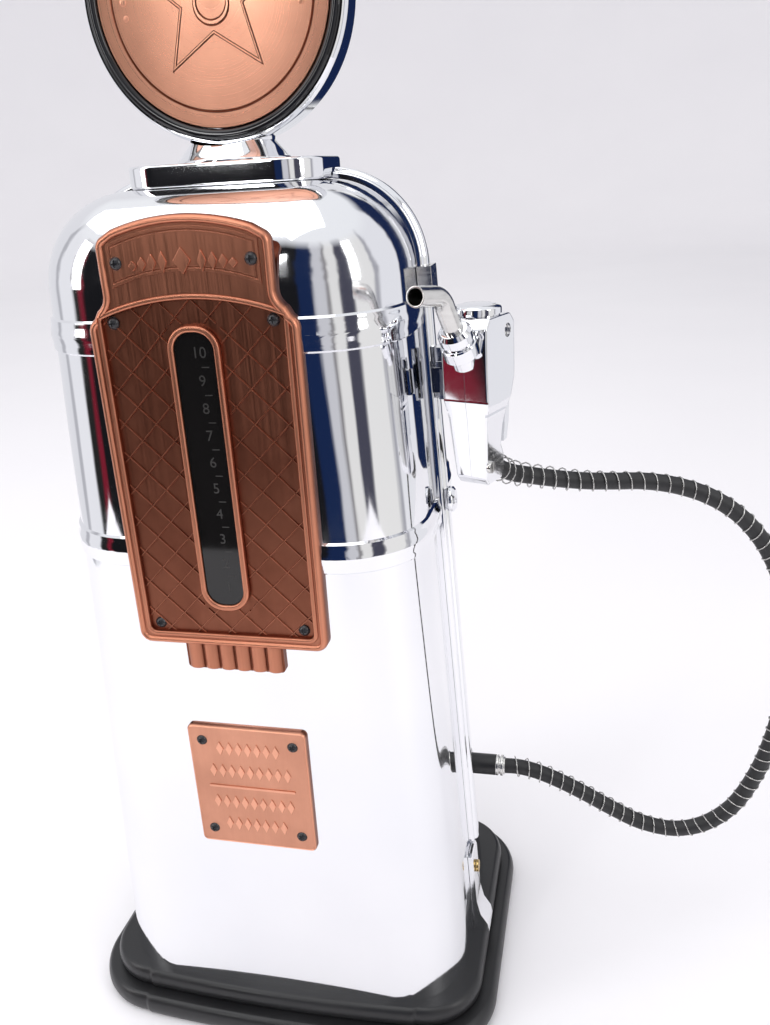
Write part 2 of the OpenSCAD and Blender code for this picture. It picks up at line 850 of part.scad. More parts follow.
// Side view of the nozzle's body: Y forward is negative, Z up
module nozzle_profile() {
  polygon([[head_front, 1.5], [head_front, head_h - 3], [head_front + 3, head_h], [head_back - 3, head_h],
    [head_back, head_h - 3], [head_back, 0], [head_back, -4], [pivot_y - 1, -13.5], [4.5, -20],
    [4, -27], [6.5, -31], [7.5, -grip_h + 4], [6, -grip_h], [-4, -grip_h], [-6.5, -grip_h + 3],
    [-8.5, -waist_h - 1], [-9.5, -waist_h + 5]]);
}

module nozzle_solid() {
  difference() {
    intersection() {
      translate([-nozzle_w/2, 0, 0]) rotate([90, 0, 90]) linear_extrude(nozzle_w) nozzle_profile();
      // front view: wide head and waist, slimmer grip
      translate([0, 50, 0]) rotate([90, 0, 0]) linear_extrude(100)
        polygon([[-nozzle_w/2, head_h + 1], [nozzle_w/2, head_h + 1], [nozzle_w/2, -waist_h + 5],
          [nozzle_w/2 - 1.2, -waist_h - 1], [5.6, -grip_h - 1], [-5.6, -grip_h - 1],
          [-nozzle_w/2 + 1.2, -waist_h - 1], [-nozzle_w/2, -waist_h + 5]]);
    }
    // slot for the trigger and its boss
    translate([-trigger_w/2 - ear_gap, pivot_y - 4.2, -30]) cube([trigger_w + 2*ear_gap, 20, 26]);
    // chamber and bore of the valve stem
    translate([0, 0, stem_z_local]) rotate([90, 0, 0]) {
      translate([0, 0, -10]) cylinder(r = stem_r + run_clear, h = 10);
      translate([0, 0, -1]) cylinder(r = 3.2, h = 8);
    }
    // fluid way up to the spout
    translate([0, -2, stem_z_local]) cylinder(r = 2, h = 24);
    translate([0, -2, 8]) rotate([90, 0, 0]) cylinder(r = 2, h = 6);
    // pin, screws, hose way
    translate([-20, pivot_y, pivot_z]) rotate([0, 90, 0]) cylinder(r = pin_r + clear/4, h = 40);
    nozzle_screw_places() translate([-20, 0, 0]) rotate([0, 90, 0]) cylinder(r = 1.2, h = 40);
    nozzle_screw_places() translate([nozzle_w/2 - 2.6, 0, 0]) rotate([0, 90, 0]) cylinder(r = 2.3, h = 40);
    hose_exit() translate([0, 0, -stub_l - 1]) cylinder(r = stub_r + clear, h = 40);
    hose_exit() cylinder(r = ferrule_d/2 + clear, h = 20);
    translate([0, -1, exit_z]) cylinder(r = 1.6, h = 24);
    // seat of the spout collar
    collar_place() translate([0, 0, -2]) cylinder(r = 4 + clear, h = 30);
    collar_place() translate([0, 0, 2.4]) cylinder(r = 6 + clear, h = 30);
  }
}

module nozzle_screw_places() {
  translate([0, 5.5, 12]) children();
  translate([0, -4.6, -33]) children();
}

module collar_place() {
  translate([0, head_front + 0.7, 4.4]) rotate([32, 0, 0]) children();
}

// Tongue on the inner side of the nozzle, which drops into the cradle
module nozzle_hook(grow) {
  translate([-nozzle_w/2 - 4.5 - grow, hook_y - grow, -8 - grow]) cube([2 + 2*grow, 6 + 2*grow, 9.5 + grow]);
}

module nozzle_left() {
  color(chrome) place_nozzle() {
    intersection() {
      nozzle_solid();
      translate([-50, -50, -50]) cube([50, 100, 100]);
    }
    nozzle_hook(0);
    translate([-nozzle_w/2 - 4, hook_y, -1.5]) cube([4.2, 6, 3]);
  }
}

module nozzle_right() {
  color(chrome) place_nozzle() intersection() {
    nozzle_solid();
    translate([0, -50, -50]) cube([50, 100, 100]);
  }
}

module nozzle_cap() {
  color(chrome) place_nozzle() translate([0, 0.5, head_h]) {
    cylinder(r = 8, h = 2.4);
    translate([0, 0, 2.4 - eps]) cylinder(r1 = 8, r2 = 6.4, h = 1.4);
  }
}

module nozzle_screws() {
  color(steel) place_nozzle() nozzle_screw_places() {
    translate([-3.5, 0, 0]) rotate([0, 90, 0]) cylinder(r = 1.15, h = nozzle_w/2 - 2.6 + 3.5);
    difference() {
      translate([nozzle_w/2 - 2.6, 0, 0]) rotate([0, 90, 0]) cylinder(r = 2.1, h = 1.4);
      translate([nozzle_w/2 - 1.9, -0.3, -1.5]) cube([2, 0.6, 3]);
    }
  }
}

// Spout: a straight rise, a bend, and a nearly level mouth
module spout_solid(r, over) {
  collar_place() {
    translate([0, 0, 1 - over]) cylinder(r = r, h = spout_rise - 1 + over + eps);
    translate([0, -spout_bend_r, spout_rise]) rotate([90, 0, 90]) rotate_extrude(angle = spout_bend)
      translate([spout_bend_r, 0]) circle(r);
    translate([0, spout_bend_r*(cos(spout_bend) - 1), spout_rise + spout_bend_r*sin(spout_bend)])
      rotate([spout_bend, 0, 0]) translate([0, 0, -eps]) cylinder(r = r, h = spout_reach + over + eps);
  }
}

module spout() {
  color(steel) place_nozzle() difference() {
    spout_solid(spout_r, 0);
    spout_solid(spout_bore, 1);
  }
}

module spout_collar() {
  color(chrome) place_nozzle() collar_place() difference() {
    union() {
      translate([0, 0, -1.9]) cylinder(r = 4, h = 5);
      translate([0, 0, 2.5]) cylinder(r = 6, h = 5);
      translate([0, 0, 7.5 - eps]) cylinder(r = 4.9, h = 1.2);
      translate([0, 0, 8.6]) cylinder(r = 5.6, h = 3.4);
      translate([0, 0, 12 - eps]) cylinder(r1 = 5.6, r2 = 4.6, h = 1.2);
    }
    translate([0, 0, 0.9]) cylinder(r = spout_r + 0.02, h = 20);
    translate([0, 0, -5]) cylinder(r = spout_bore, h = 10);
  }
}

module trigger() {
  color(chrome) place_nozzle() difference() {
    translate([-trigger_w/2, 0, 0]) rotate([90, 0, 90]) linear_extrude(trigger_w) union() {
      translate([pivot_y, pivot_z]) circle(3.2);
      polygon([[pivot_y - 1, pivot_z + 3], [pivot_y + 4.5, pivot_z + 4.5], [pivot_y + 7.5, pivot_z + 1],
        [pivot_y + 8.6, pivot_z - 6], [pivot_y + 8, pivot_z - 13], [pivot_y + 6.2, pivot_z - 19],
        [pivot_y + 3.6, pivot_z - 19.4], [pivot_y + 4.6, pivot_z - 13], [pivot_y + 4.6, pivot_z - 8],
        [pivot_y + 2.6, pivot_z - 4], [pivot_y - 1, pivot_z - 3]]);
    }
    translate([-20, pivot_y, pivot_z]) rotate([0, 90, 0]) cylinder(r = pin_r + run_clear, h = 40);
  }
}

module trigger_pin() {
  color(steel) place_nozzle() translate([-nozzle_w/2 + 0.6, pivot_y, pivot_z]) rotate([0, 90, 0])
    cylinder(r = pin_r, h = nozzle_w - 1.2);
}

module valve_stem() {
  color(steel) place_nozzle() translate([0, 0, stem_z_local]) rotate([90, 0, 0]) {
    translate([0, 0, -pivot_y - 2.4]) cylinder(r = stem_r, h = pivot_y + 2.4 + 1);
    cylinder(r = 2.9, h = 1);
  }
}

module valve_seal() {
  color([0.15, 0.15, 0.15]) place_nozzle() translate([0, 0.35, stem_z_local]) rotate([90, 0, 0])
    rotate_extrude() translate([stem_r + 0.7, 0]) circle(0.3, $fn = 24);
}

module valve_spring() {
  turns = 3;
  coil_r = 2.5;
  wire_r = 0.25;
  pts = [for (i = [0:turns*12]) let (a = i*30) [coil_r*cos(a), coil_r*sin(a), 1.4 + 3.2*i/(turns*12)]];
  color(steel) place_nozzle() translate([0, 0, stem_z_local]) rotate([90, 0, 0]) sweep_tube(pts, wire_r, 6);
}

// Cup on the arch trim that the nozzle's tongue drops into
module nozzle_cradle() {
  color(chrome) difference() {
    union() {
      cradle_pad(2.4);
      place_nozzle() translate([-nozzle_w/2 - 7, hook_y - 2, -11]) cube([6.4, 10, cradle_h]);
      // arm between the pad and the cup
      translate([half_w(cradle_low) + trim_out - 1.4, trim_y - 14.5, cradle_low]) cube([6.5, 13, cradle_h]);
    }
    place_nozzle() {
      nozzle_hook(hook_clear);
      translate([-nozzle_w/2 - 4.5 - hook_clear, hook_y - hook_clear, -8]) cube([10, 6 + 2*hook_clear, 40]);
    }
    // the pad lies flat on the arch trim
    translate([0, 40, 0]) rotate([90, 0, 0]) linear_extrude(80) seam_outline(trim_out + 0.02, trim_foot_z);
    cradle_screw_places() translate([0, 0, -3]) cylinder(r = screw_r + clear, h = 12);
    cradle_screw_places() translate([0, 0, 2.4]) cylinder(r = 2.4, h = 20);
  }
}

module cradle_pad(t) {
  translate([half_w(cradle_low) + trim_out - 1.4, trim_y - 3.6, cradle_low - 5]) cube([t + 1.4, 7.2, cradle_h + 10]);
}

module cradle_screw_places() {
  for (z = [cradle_low - 2.4, cradle_low + cradle_h + 2.4])
    translate([half_w(z) + trim_out, trim_y, z]) rotate([0, 90, 0]) children();
}

module cradle_screws() {
  color(steel) cradle_screw_places() {
    translate([0, 0, -2.2]) cylinder(r = screw_r, h = 4.7);
    translate([0, 0, 2.45]) cylinder(r = 2, h = 1);
  }
}

// ---- hose and its ends ----

module side_port() {
  color(black) translate([port_x, port_y, port_z]) rotate([0, 90, 0]) difference() {
    union() {
      cylinder(r = port_flange_r, h = port_flange_t);
      cylinder(r = port_r, h = port_end - ferrule_l - port_x);
    }
    translate([0, 0, -1]) cylinder(r = outlet_bore, h = 40);
  }
}

module port_ferrule() {
  color(steel) translate([port_end - ferrule_l, port_y, port_z]) rotate([0, 90, 0]) ferrule_shape();
}

module ferrule_shape() {
  difference() {
    union() {
      cylinder(r = ferrule_d/2, h = 1.2);
      translate([0, 0, 1.2 - eps]) cylinder(r = ferrule_d/2 - 0.7, h = 0.8);
      translate([0, 0, 2 - eps]) cylinder(r = ferrule_d/2, h = 1.2);
      translate([0, 0, 3.2 - eps]) cylinder(r = ferrule_d/2 - 0.7, h = 0.8);
    }
    translate([0, 0, -1]) cylinder(r = ferrule_bore, h = 10);
  }
}

// The hose leaves the back of the grip, backwards and down
module nozzle_ferrule() {
  color(steel) place_nozzle() hose_exit() {
    ferrule_shape();
    difference() {
      translate([0, 0, -stub_l]) cylinder(r = stub_r, h = stub_l + eps);
      translate([0, 0, -20]) cylinder(r = 1.2, h = 40);
    }
  }
}

module hose_exit() {
  translate([0, exit_y, exit_z]) rotate([-90 - exit_dip, 0, 0]) children();
}

// Closed tube swept along a list of points, with rings square to the path
function unit(v) = v/norm(v);
function direction(pts, i) =
  i == 0 ? unit(pts[1] - pts[0]) :
  i == len(pts) - 1 ? unit(pts[i] - pts[i - 1]) : unit(unit(pts[i + 1] - pts[i]) + unit(pts[i] - pts[i - 1]));
function ring_side(t) = unit(cross(t, abs(t[1]) < 0.9 ? [0, 1, 0] : [1, 0, 0]));
module sweep_tube(pts, r, sides) {
  n = len(pts);
  rings = [for (i = [0:n - 1]) let (t = direction(pts, i), u = ring_side(t), v = cross(t, u))
    for (k = [0:sides - 1]) pts[i] + r*cos(360*k/sides)*u + r*sin(360*k/sides)*v];
  walls = [for (i = [0:n - 2], k = [0:sides - 1])
    [i*sides + k, i*sides + (k + 1) % sides, (i + 1)*sides + (k + 1) % sides, (i + 1)*sides + k]];
  caps = [[for (k = [sides - 1:-1:0]) k], [for (k = [0:sides - 1]) (n - 1)*sides + k]];
  polyhedron(rings, concat([for (w = walls) [w[0], w[3], w[2], w[1]]], [[for (k = [0:sides - 1]) k],
    [for (k = [sides - 1:-1:0]) (n - 1)*sides + k]]));
}

module hose() {
  color(black) sweep_tube(hose_points, hose_d/2, 10);
}

base_plinth();
base_cover();
cover_screws();
foot_pads();
front_shell();
rear_shell();
arch_trim();
trim_ferrule();
side_bosses();
side_brackets();
bracket_screws();
tank();
tank_outlet();
filler_gasket();
window_lens();
level_scale();
window_rim();
bezel();
lattice_panel();
name_plate();
trim_screws();
lower_plaque();
plaque_screws();
top_plate();
filler_plug();
globe_stem();
globe_front();
globe_rear();
front_ring();
rear_ring();
front_disc();
rear_disc();
nozzle_left();
nozzle_right();
nozzle_cap();
nozzle_screws();
spout();
spout_collar();
trigger();
trigger_pin();
valve_stem();
valve_seal();
valve_spring();
nozzle_cradle();
cradle_screws();
side_port();
port_ferrule();
nozzle_ferrule();
hose();
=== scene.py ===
# %% [markdown]
# # A drinks dispenser shaped like a vintage gas pump
#
# This lesson dresses a finished mechanical model. The frame holds every working piece at its true size and
# place, so nothing here moves or resizes it. Each step below says what the piece or finish is on the real
# object, how it could be made, and why this way was chosen. All lengths are in metres, +Z is up, and the
# front faces -Y.

# %% Load the fixed frame
import math

import bmesh
import bpy
from mathutils import Matrix, Vector


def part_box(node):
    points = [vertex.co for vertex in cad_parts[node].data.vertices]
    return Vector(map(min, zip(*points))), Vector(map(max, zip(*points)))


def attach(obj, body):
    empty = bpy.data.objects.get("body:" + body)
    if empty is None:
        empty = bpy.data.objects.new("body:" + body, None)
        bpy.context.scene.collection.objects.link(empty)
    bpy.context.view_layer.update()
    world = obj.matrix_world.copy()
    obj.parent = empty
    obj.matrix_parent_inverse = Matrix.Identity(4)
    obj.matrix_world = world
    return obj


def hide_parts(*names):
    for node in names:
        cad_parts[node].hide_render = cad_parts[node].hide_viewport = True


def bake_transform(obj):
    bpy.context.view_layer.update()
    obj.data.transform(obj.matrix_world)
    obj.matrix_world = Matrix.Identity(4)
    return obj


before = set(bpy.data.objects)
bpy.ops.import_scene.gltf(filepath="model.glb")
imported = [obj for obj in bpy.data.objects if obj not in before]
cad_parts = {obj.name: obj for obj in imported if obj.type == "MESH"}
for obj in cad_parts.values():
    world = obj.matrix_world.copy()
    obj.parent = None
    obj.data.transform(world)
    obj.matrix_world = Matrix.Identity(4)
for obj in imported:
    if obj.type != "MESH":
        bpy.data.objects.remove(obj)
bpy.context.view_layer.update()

MM = 0.001
print("nodes in the frame:", len(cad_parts))

# %% [markdown]
# ## Camera and studio
#
# The camera stands close by, a little to the right and above, and it is rolled slightly, so the body leans.
# A camera could be aimed with a constraint, but a plain matrix keeps the roll exact and leaves nothing
# live.

# %% Camera
CAMERA_AT = Vector((126.93, -331.47, 341.12)) * MM
YAW, PITCH, ROLL = math.radians(14.02), math.radians(20.60), math.radians(-3.50)
FOCAL_OVER_HEIGHT = 0.8912   # focal length as a share of the sensor's height

look = Vector((-math.sin(YAW) * math.cos(PITCH), math.cos(YAW) * math.cos(PITCH), -math.sin(PITCH)))
level = look.cross(Vector((0, 0, 1))).normalized()
upright = level.cross(look)
side = math.cos(ROLL) * level + math.sin(ROLL) * upright
top = math.cos(ROLL) * upright - math.sin(ROLL) * level

lens = bpy.data.cameras.new("studio_camera")
lens.sensor_fit = "VERTICAL"
lens.sensor_height = 36
lens.lens = FOCAL_OVER_HEIGHT * lens.sensor_height
lens.clip_start = 0.01
camera = bpy.data.objects.new("studio_camera", lens)
camera.matrix_world = Matrix((
    (side.x, top.x, -look.x, CAMERA_AT.x),
    (side.y, top.y, -look.y, CAMERA_AT.y),
    (side.z, top.z, -look.z, CAMERA_AT.z),
    (0, 0, 0, 1)))
bpy.context.scene.collection.objects.link(camera)
bpy.context.scene.camera = camera
print("lens:", round(lens.lens, 2), "mm on a", lens.sensor_height, "mm sensor")

# %% [markdown]
# ## Tools for the bench
#
# An operator works on everything that is selected, and loading the frame leaves its pieces selected. So
# every step first selects one piece alone. Faces and edges are then chosen in code, by their place or their
# normal.

# %% Selecting and editing
def only(piece):
    """Leaves this piece alone selected and active."""
    for other in list(bpy.context.selected_objects):
        other.select_set(False)
    piece.select_set(True)
    bpy.context.view_layer.objects.active = piece


def edit(piece):
    only(piece)
    bpy.ops.object.mode_set(mode="EDIT")
    bpy.ops.mesh.select_all(action="SELECT")


def leave():
    bpy.ops.object.mode_set(mode="OBJECT")


def choose(piece, kind, rule):
    """In edit mode, selects the VERT, EDGE or FACE elements that the rule accepts, and counts them."""
    bpy.ops.mesh.select_mode(type=kind)
    bpy.ops.mesh.select_all(action="DESELECT")
    mesh = bmesh.from_edit_mesh(piece.data)
    mesh.normal_update()
    found = [e for e in {"VERT": mesh.verts, "EDGE": mesh.edges, "FACE": mesh.faces}[kind] if rule(e)]
    for element in found:
        element.select = True
    mesh.select_flush_mode()
    bmesh.update_edit_mesh(piece.data)
    return len(found)


def modify(piece, kind, **settings):
    """Adds one modifier, sets it and applies it."""
    only(piece)
    step = piece.modifiers.new(kind.lower(), kind)
    for key, value in settings.items():
        setattr(step, key, value)
    bpy.ops.object.modifier_apply(modifier=step.name)


def cut(piece, cutter, operation="DIFFERENCE"):
    """Boolean with another closed piece, which is then removed."""
    modify(piece, "BOOLEAN", object=cutter, operation=operation, solver="EXACT", use_self=True)
    bpy.data.objects.remove(cutter)


def outward(piece):
    edit(piece)
    bpy.ops.mesh.remove_doubles(threshold=1e-6)
    bpy.ops.mesh.normals_make_consistent(inside=False)
    leave()


# %% [markdown]
# A finished piece has its place in its mesh and its object at the origin. It rides on a body of the frame,
# hides the plain solid that it stands for, and gets its finish. Weighted normals keep large flats flat
# beside small rounds.

# %% Finishing a piece
def finish(piece, name, body, slot, material, *nodes, angle=32, weighted=True):
    piece.name = name
    only(piece)
    bpy.ops.object.transform_apply(location=True, rotation=True, scale=True)
    bpy.ops.object.shade_smooth_by_angle(angle=math.radians(angle))
    if weighted:
        modify(piece, "WEIGHTED_NORMAL", keep_sharp=True, weight=60)
    piece.data.materials.clear()
    piece.data.materials.append(material)
    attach(piece, body)
    if nodes:
        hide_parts(*nodes)
    return piece


def joined(pieces):
    for piece in bpy.context.selected_objects:
        piece.select_set(False)
    for piece in pieces:
        piece.select_set(True)
    bpy.context.view_layer.objects.active = pieces[0]
    if len(pieces) > 1:
        bpy.ops.object.join()
    return bpy.context.object


# %% [markdown]
# Flat trim starts as an outline. A circle primitive gives one loop of vertices, each is set on the outline,
# and the loop is filled and extruded. Round trim is turned, as on a lathe: a closed loop of (radius,
# height) points is spun.

# %% Outlines and turned shapes
def loop_of(points):
    """One closed loop of vertices at the given places."""
    bpy.ops.mesh.primitive_circle_add(vertices=len(points), radius=MM, fill_type="NOTHING")
    for vertex, point in zip(bpy.context.object.data.vertices, points):
        vertex.co = point
    return bpy.context.object


def outline_piece(points, depth, y=0.0):
    """A slab whose outline is in X and Z; its back is at y and its front faces -Y."""
    piece = loop_of([(x, y, z) for x, z in points])
    edit(piece)
    bpy.ops.mesh.edge_face_add()
    bpy.ops.mesh.extrude_region_move(TRANSFORM_OT_translate={"value": (0, -depth, 0)})
    leave()
    outward(piece)
    return piece


def turned(profile, steps=96):
    """Spins a closed loop of (radius, height) points round Z."""
    piece = loop_of([(radius, 0, height) for radius, height in profile])
    edit(piece)
    bpy.ops.mesh.spin(steps=steps, angle=2 * math.pi, center=(0, 0, 0), axis=(0, 0, 1))
    leave()
    outward(piece)
    return piece


def fill_open(piece, rule=lambda edge: True):
    """Puts a face on the open edges that the rule accepts."""
    edit(piece)
    choose(piece, "EDGE", lambda e: e.is_boundary and rule(e))
    bpy.ops.mesh.edge_face_add()
    leave()


def ease(piece, width, segments=2, angle=30):
    """Rounds the edges that are sharper than an angle in degrees."""
    modify(piece, "BEVEL", width=width, segments=segments, limit_method="ANGLE",
           angle_limit=math.radians(angle))


def place(piece, matrix):
    piece.data.transform(matrix)
    piece.data.update()
    return piece


def arc(centre, radius, start, end, count):
    """Points on an arc, angles in degrees."""
    turns = [math.radians(start + (end - start) * i / count) for i in range(count + 1)]
    return [(centre[0] + radius * math.cos(a), centre[1] + radius * math.sin(a)) for a in turns]


def rounded_box(width, depth, radius, count=12):
    """Outline of a rectangle with round corners, centred on the origin."""
    points = []
    for sx, sy, start in ((1, 1, 0), (-1, 1, 90), (-1, -1, 180), (1, -1, 270)):
        centre = (sx * (width / 2 - radius), sy * (depth / 2 - radius))
        points += arc(centre, radius, start, start + 90, count)
    return points


# %% [markdown]
# Small working pieces, such as pins, screws and ferrules, already have the right shape in the frame. A copy
# of each is merged, its coplanar triangles are dissolved, and its edges get the small round that a real
# moulded or turned piece has, because a perfectly sharp edge catches no light.

# %% Copying a frame piece
def eased_copy(node, edge):
    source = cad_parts[node]
    piece = bpy.data.objects.new(node + "_eased", source.data.copy())
    bpy.context.scene.collection.objects.link(piece)
    edit(piece)
    if piece.data.has_custom_normals:
        bpy.ops.mesh.customdata_custom_splitnormals_clear()
    bpy.ops.mesh.remove_doubles(threshold=2e-6)
    bpy.ops.mesh.dissolve_limited(angle_limit=math.radians(1))
    leave()
    ease(piece, edge, angle=38)
    return piece


# %% [markdown]
# ## Materials
#
# Some effects come back in many finishes: grain that runs one way, marks from handling, and dirt that stays
# in the low places. Each is a node group with named inputs and outputs, built once and placed in a material
# with its own values. A group gives out colours, masks and heights only; the shader itself stays in the
# material.

# %% Building node groups and materials
def new_group(name, inputs, outputs):
    tree = bpy.data.node_groups.new(name, "ShaderNodeTree")
    for label, value in inputs.items():
        socket = tree.interface.new_socket(name=label, in_out="INPUT", socket_type="NodeSocketFloat")
        socket.default_value = value
    for label in outputs:
        tree.interface.new_socket(name=label, in_out="OUTPUT", socket_type="NodeSocketFloat")
    return tree, tree.nodes.new("NodeGroupInput"), tree.nodes.new("NodeGroupOutput")


def noise(tree, vector, scale, detail=4, roughness=0.5):
    node = tree.nodes.new("ShaderNodeTexNoise")
    node.inputs["Detail"].default_value = detail
    node.inputs["Roughness"].default_value = roughness
    tree.links.new(vector, node.inputs["Vector"])
    if hasattr(scale, "links"):
        tree.links.new(scale, node.inputs["Scale"])
    else:
        node.inputs["Scale"].default_value = scale
    return node.outputs["Fac"]


def remap(tree, value, low, high, to_low=0.0, to_high=1.0):
    node = tree.nodes.new("ShaderNodeMapRange")
    for label, number in (("From Min", low), ("From Max", high), ("To Min", to_low), ("To Max", to_high)):
        if hasattr(number, "links"):
            tree.links.new(number, node.inputs[label])
        else:
            node.inputs[label].default_value = number
    tree.links.new(value, node.inputs["Value"])
    return node.outputs["Result"]


def calculate(tree, operation, *values):
    node = tree.nodes.new("ShaderNodeMath")
    node.operation = operation
    for i, value in enumerate(values):
        if hasattr(value, "links"):
            tree.links.new(value, node.inputs[i])
        else:
            node.inputs[i].default_value = value
    return node.outputs[0]


def stretched(tree, scale):
    """Object coordinates, stretched so that a noise becomes grain."""
    coordinates = tree.nodes.new("ShaderNodeTexCoord")
    mapping = tree.nodes.new("ShaderNodeMapping")
    mapping.inputs["Scale"].default_value = scale
    tree.links.new(coordinates.outputs["Object"], mapping.inputs["Vector"])
    return mapping.outputs["Vector"]


# %% Group: marks from handling
def handling_group():
    """Roughness that drifts between two values, with finer smudges, and a slow waviness of the surface."""
    inputs = {"Low": 0.04, "High": 0.12, "Scale": 25.0}
    tree, given, out = new_group("handling_marks", inputs, ("Roughness", "Wave"))
    place_at = stretched(tree, (1, 1, 1))
    broad = noise(tree, place_at, given.outputs["Scale"], 3)
    fine = noise(tree, place_at, 420, 5, 0.65)
    mixed = calculate(tree, "ADD", calculate(tree, "MULTIPLY", broad, 0.7),
                      calculate(tree, "MULTIPLY", fine, 0.3))
    rough = remap(tree, mixed, 0.38, 0.66, given.outputs["Low"], given.outputs["High"])
    tree.links.new(rough, out.inputs["Roughness"])
    tree.links.new(noise(tree, place_at, 14, 2), out.inputs["Wave"])
    return tree


# %% Group: grain that runs one way
def grain_group():
    """Fine scratches along one axis of the piece: a noise that is squeezed across the grain."""
    tree, given, out = new_group("one_way_grain", {"Along": 20.0, "Across": 2600.0}, ("Grain",))
    coordinates = tree.nodes.new("ShaderNodeTexCoord")
    split = tree.nodes.new("ShaderNodeSeparateXYZ")
    tree.links.new(coordinates.outputs["Object"], split.inputs[0])
    merge = tree.nodes.new("ShaderNodeCombineXYZ")
    for axis, way in (("X", "Across"), ("Y", "Across"), ("Z", "Along")):
        stretch = calculate(tree, "MULTIPLY", split.outputs[axis], given.outputs[way])
        tree.links.new(stretch, merge.inputs[axis])
    tree.links.new(noise(tree, merge.outputs[0], 1.0, 3), out.inputs["Grain"])
    return tree


# %% Group: old plate that is dark in its low places
def antique_group():
    """Mask from 0, dark in the recesses, to 1, bright on what stands proud, read from the piece's relief."""
    tree, given, out = new_group("antique_relief", {"Blotch": 60.0}, ("Bright",))
    relief = tree.nodes.new("ShaderNodeAttribute")
    relief.attribute_name = "relief"
    place_at = stretched(tree, (1, 1, 1))
    blotch = noise(tree, place_at, given.outputs["Blotch"], 5, 0.6)
    drift = noise(tree, place_at, 12, 2)
    shift = calculate(tree, "ADD", calculate(tree, "MULTIPLY", blotch, 0.34),
                      calculate(tree, "MULTIPLY", drift, 0.5))
    total = calculate(tree, "ADD", relief.outputs["Fac"], calculate(tree, "SUBTRACT", shift, 0.42))
    tree.links.new(remap(tree, total, 0.0, 1.0), out.inputs["Bright"])
    return tree


HANDLING, GRAIN, ANTIQUE = handling_group(), grain_group(), antique_group()


# %% Helpers that place the groups in a material
def new_material(name, **sockets):
    material = bpy.data.materials.new(name)
    material.use_nodes = True
    shader = material.node_tree.nodes["Principled BSDF"]
    for label, value in sockets.items():
        shader.inputs[label.replace("_", " ")].default_value = value
    return material, material.node_tree, shader


def use_group(tree, group, **values):
    node = tree.nodes.new("ShaderNodeGroup")
    node.node_tree = group
    for label, value in values.items():
        node.inputs[label].default_value = value
    return node


def mix_colour(tree, mask, dark, bright):
    node = tree.nodes.new("ShaderNodeMix")
    node.data_type = "RGBA"
    node.inputs["A"].default_value = (*dark, 1)
    node.inputs["B"].default_value = (*bright, 1)
    tree.links.new(mask, node.inputs["Factor"])
    return node.outputs["Result"]


def bump(tree, shader, height, strength, distance):
    node = tree.nodes.new("ShaderNodeBump")
    node.inputs["Strength"].default_value = strength
    node.inputs["Distance"].default_value = distance
    tree.links.new(height, node.inputs["Height"])
    tree.links.new(node.outputs["Normal"], shader.inputs["Normal"])


# %% [markdown]
# Chrome plate on moulded plastic is a mirror that is never quite flat, so it gets slow waves in the surface
# and faint smears. Its tint drifts slightly, where the plate is thinner.

# %% Chrome plate
def chrome_plate(name, low, high, wave):
    material, tree, shader = new_material(name, Metallic=1.0)
    marks = use_group(tree, HANDLING, Low=low, High=high, Scale=18.0)
    tree.links.new(marks.outputs["Roughness"], shader.inputs["Roughness"])
    tint = mix_colour(tree, marks.outputs["Wave"], (0.80, 0.81, 0.84), (0.93, 0.93, 0.94))
    tree.links.new(tint, shader.inputs["Base Color"])
    bump(tree, shader, marks.outputs["Wave"], wave, 1.5 * MM)
    return material


CHROME = chrome_plate("chrome_plate", 0.03, 0.10, 0.22)
SMALL_CHROME = chrome_plate("chrome_fittings", 0.05, 0.13, 0.22)

# %% [markdown]
# The copper trim is plated, darkened with a stain and rubbed back, so what stands proud is bright and the
# recesses stay brown. The relief of each piece is kept as an attribute of its mesh, and the finish reads
# it.

# %% Antique copper
COPPER_DARK, COPPER_BRIGHT, COPPER_RUBBED = (0.15, 0.045, 0.026), (0.66, 0.27, 0.165), (0.86, 0.42, 0.28)


def antique_copper(name, rough_low, rough_high, bright=COPPER_BRIGHT, turned_grain=False):
    material, tree, shader = new_material(name, Metallic=1.0)
    mask = use_group(tree, ANTIQUE).outputs["Bright"]
    tree.links.new(mix_colour(tree, mask, COPPER_DARK, bright), shader.inputs["Base Color"])
    if turned_grain:
        # rings round the middle of the disc, as a brush leaves them
        radius = tree.nodes.new("ShaderNodeAttribute")
        radius.attribute_name = "radius"
        grain = noise(tree, radius.outputs["Vector"], 7000, 2)
        shader.inputs["Anisotropic"].default_value = 0.75
        tangent = tree.nodes.new("ShaderNodeTangent")
        tangent.direction_type = "RADIAL"
        tangent.axis = "Y"
        tree.links.new(tangent.outputs["Tangent"], shader.inputs["Tangent"])
    else:
        grain = use_group(tree, GRAIN).outputs["Grain"]
    tree.links.new(remap(tree, grain, 0.3, 0.7, rough_low, rough_high), shader.inputs["Roughness"])
    bump(tree, shader, grain, 0.04 if turned_grain else 0.10, 0.05 * MM)
    return material


COPPER = antique_copper("antique_copper", 0.28, 0.44)
PLAQUE_COPPER = antique_copper("rubbed_copper", 0.28, 0.44, bright=COPPER_RUBBED)
DISC_COPPER = antique_copper("brushed_disc_copper", 0.26, 0.36, bright=COPPER_RUBBED, turned_grain=True)

# %% [markdown]
# The plain finishes are moulded black plastic with a fine texture, gloss black, turned steel, brass, rubber
# and the dark window. None is one flat colour: each has its own marks, grain or dust.

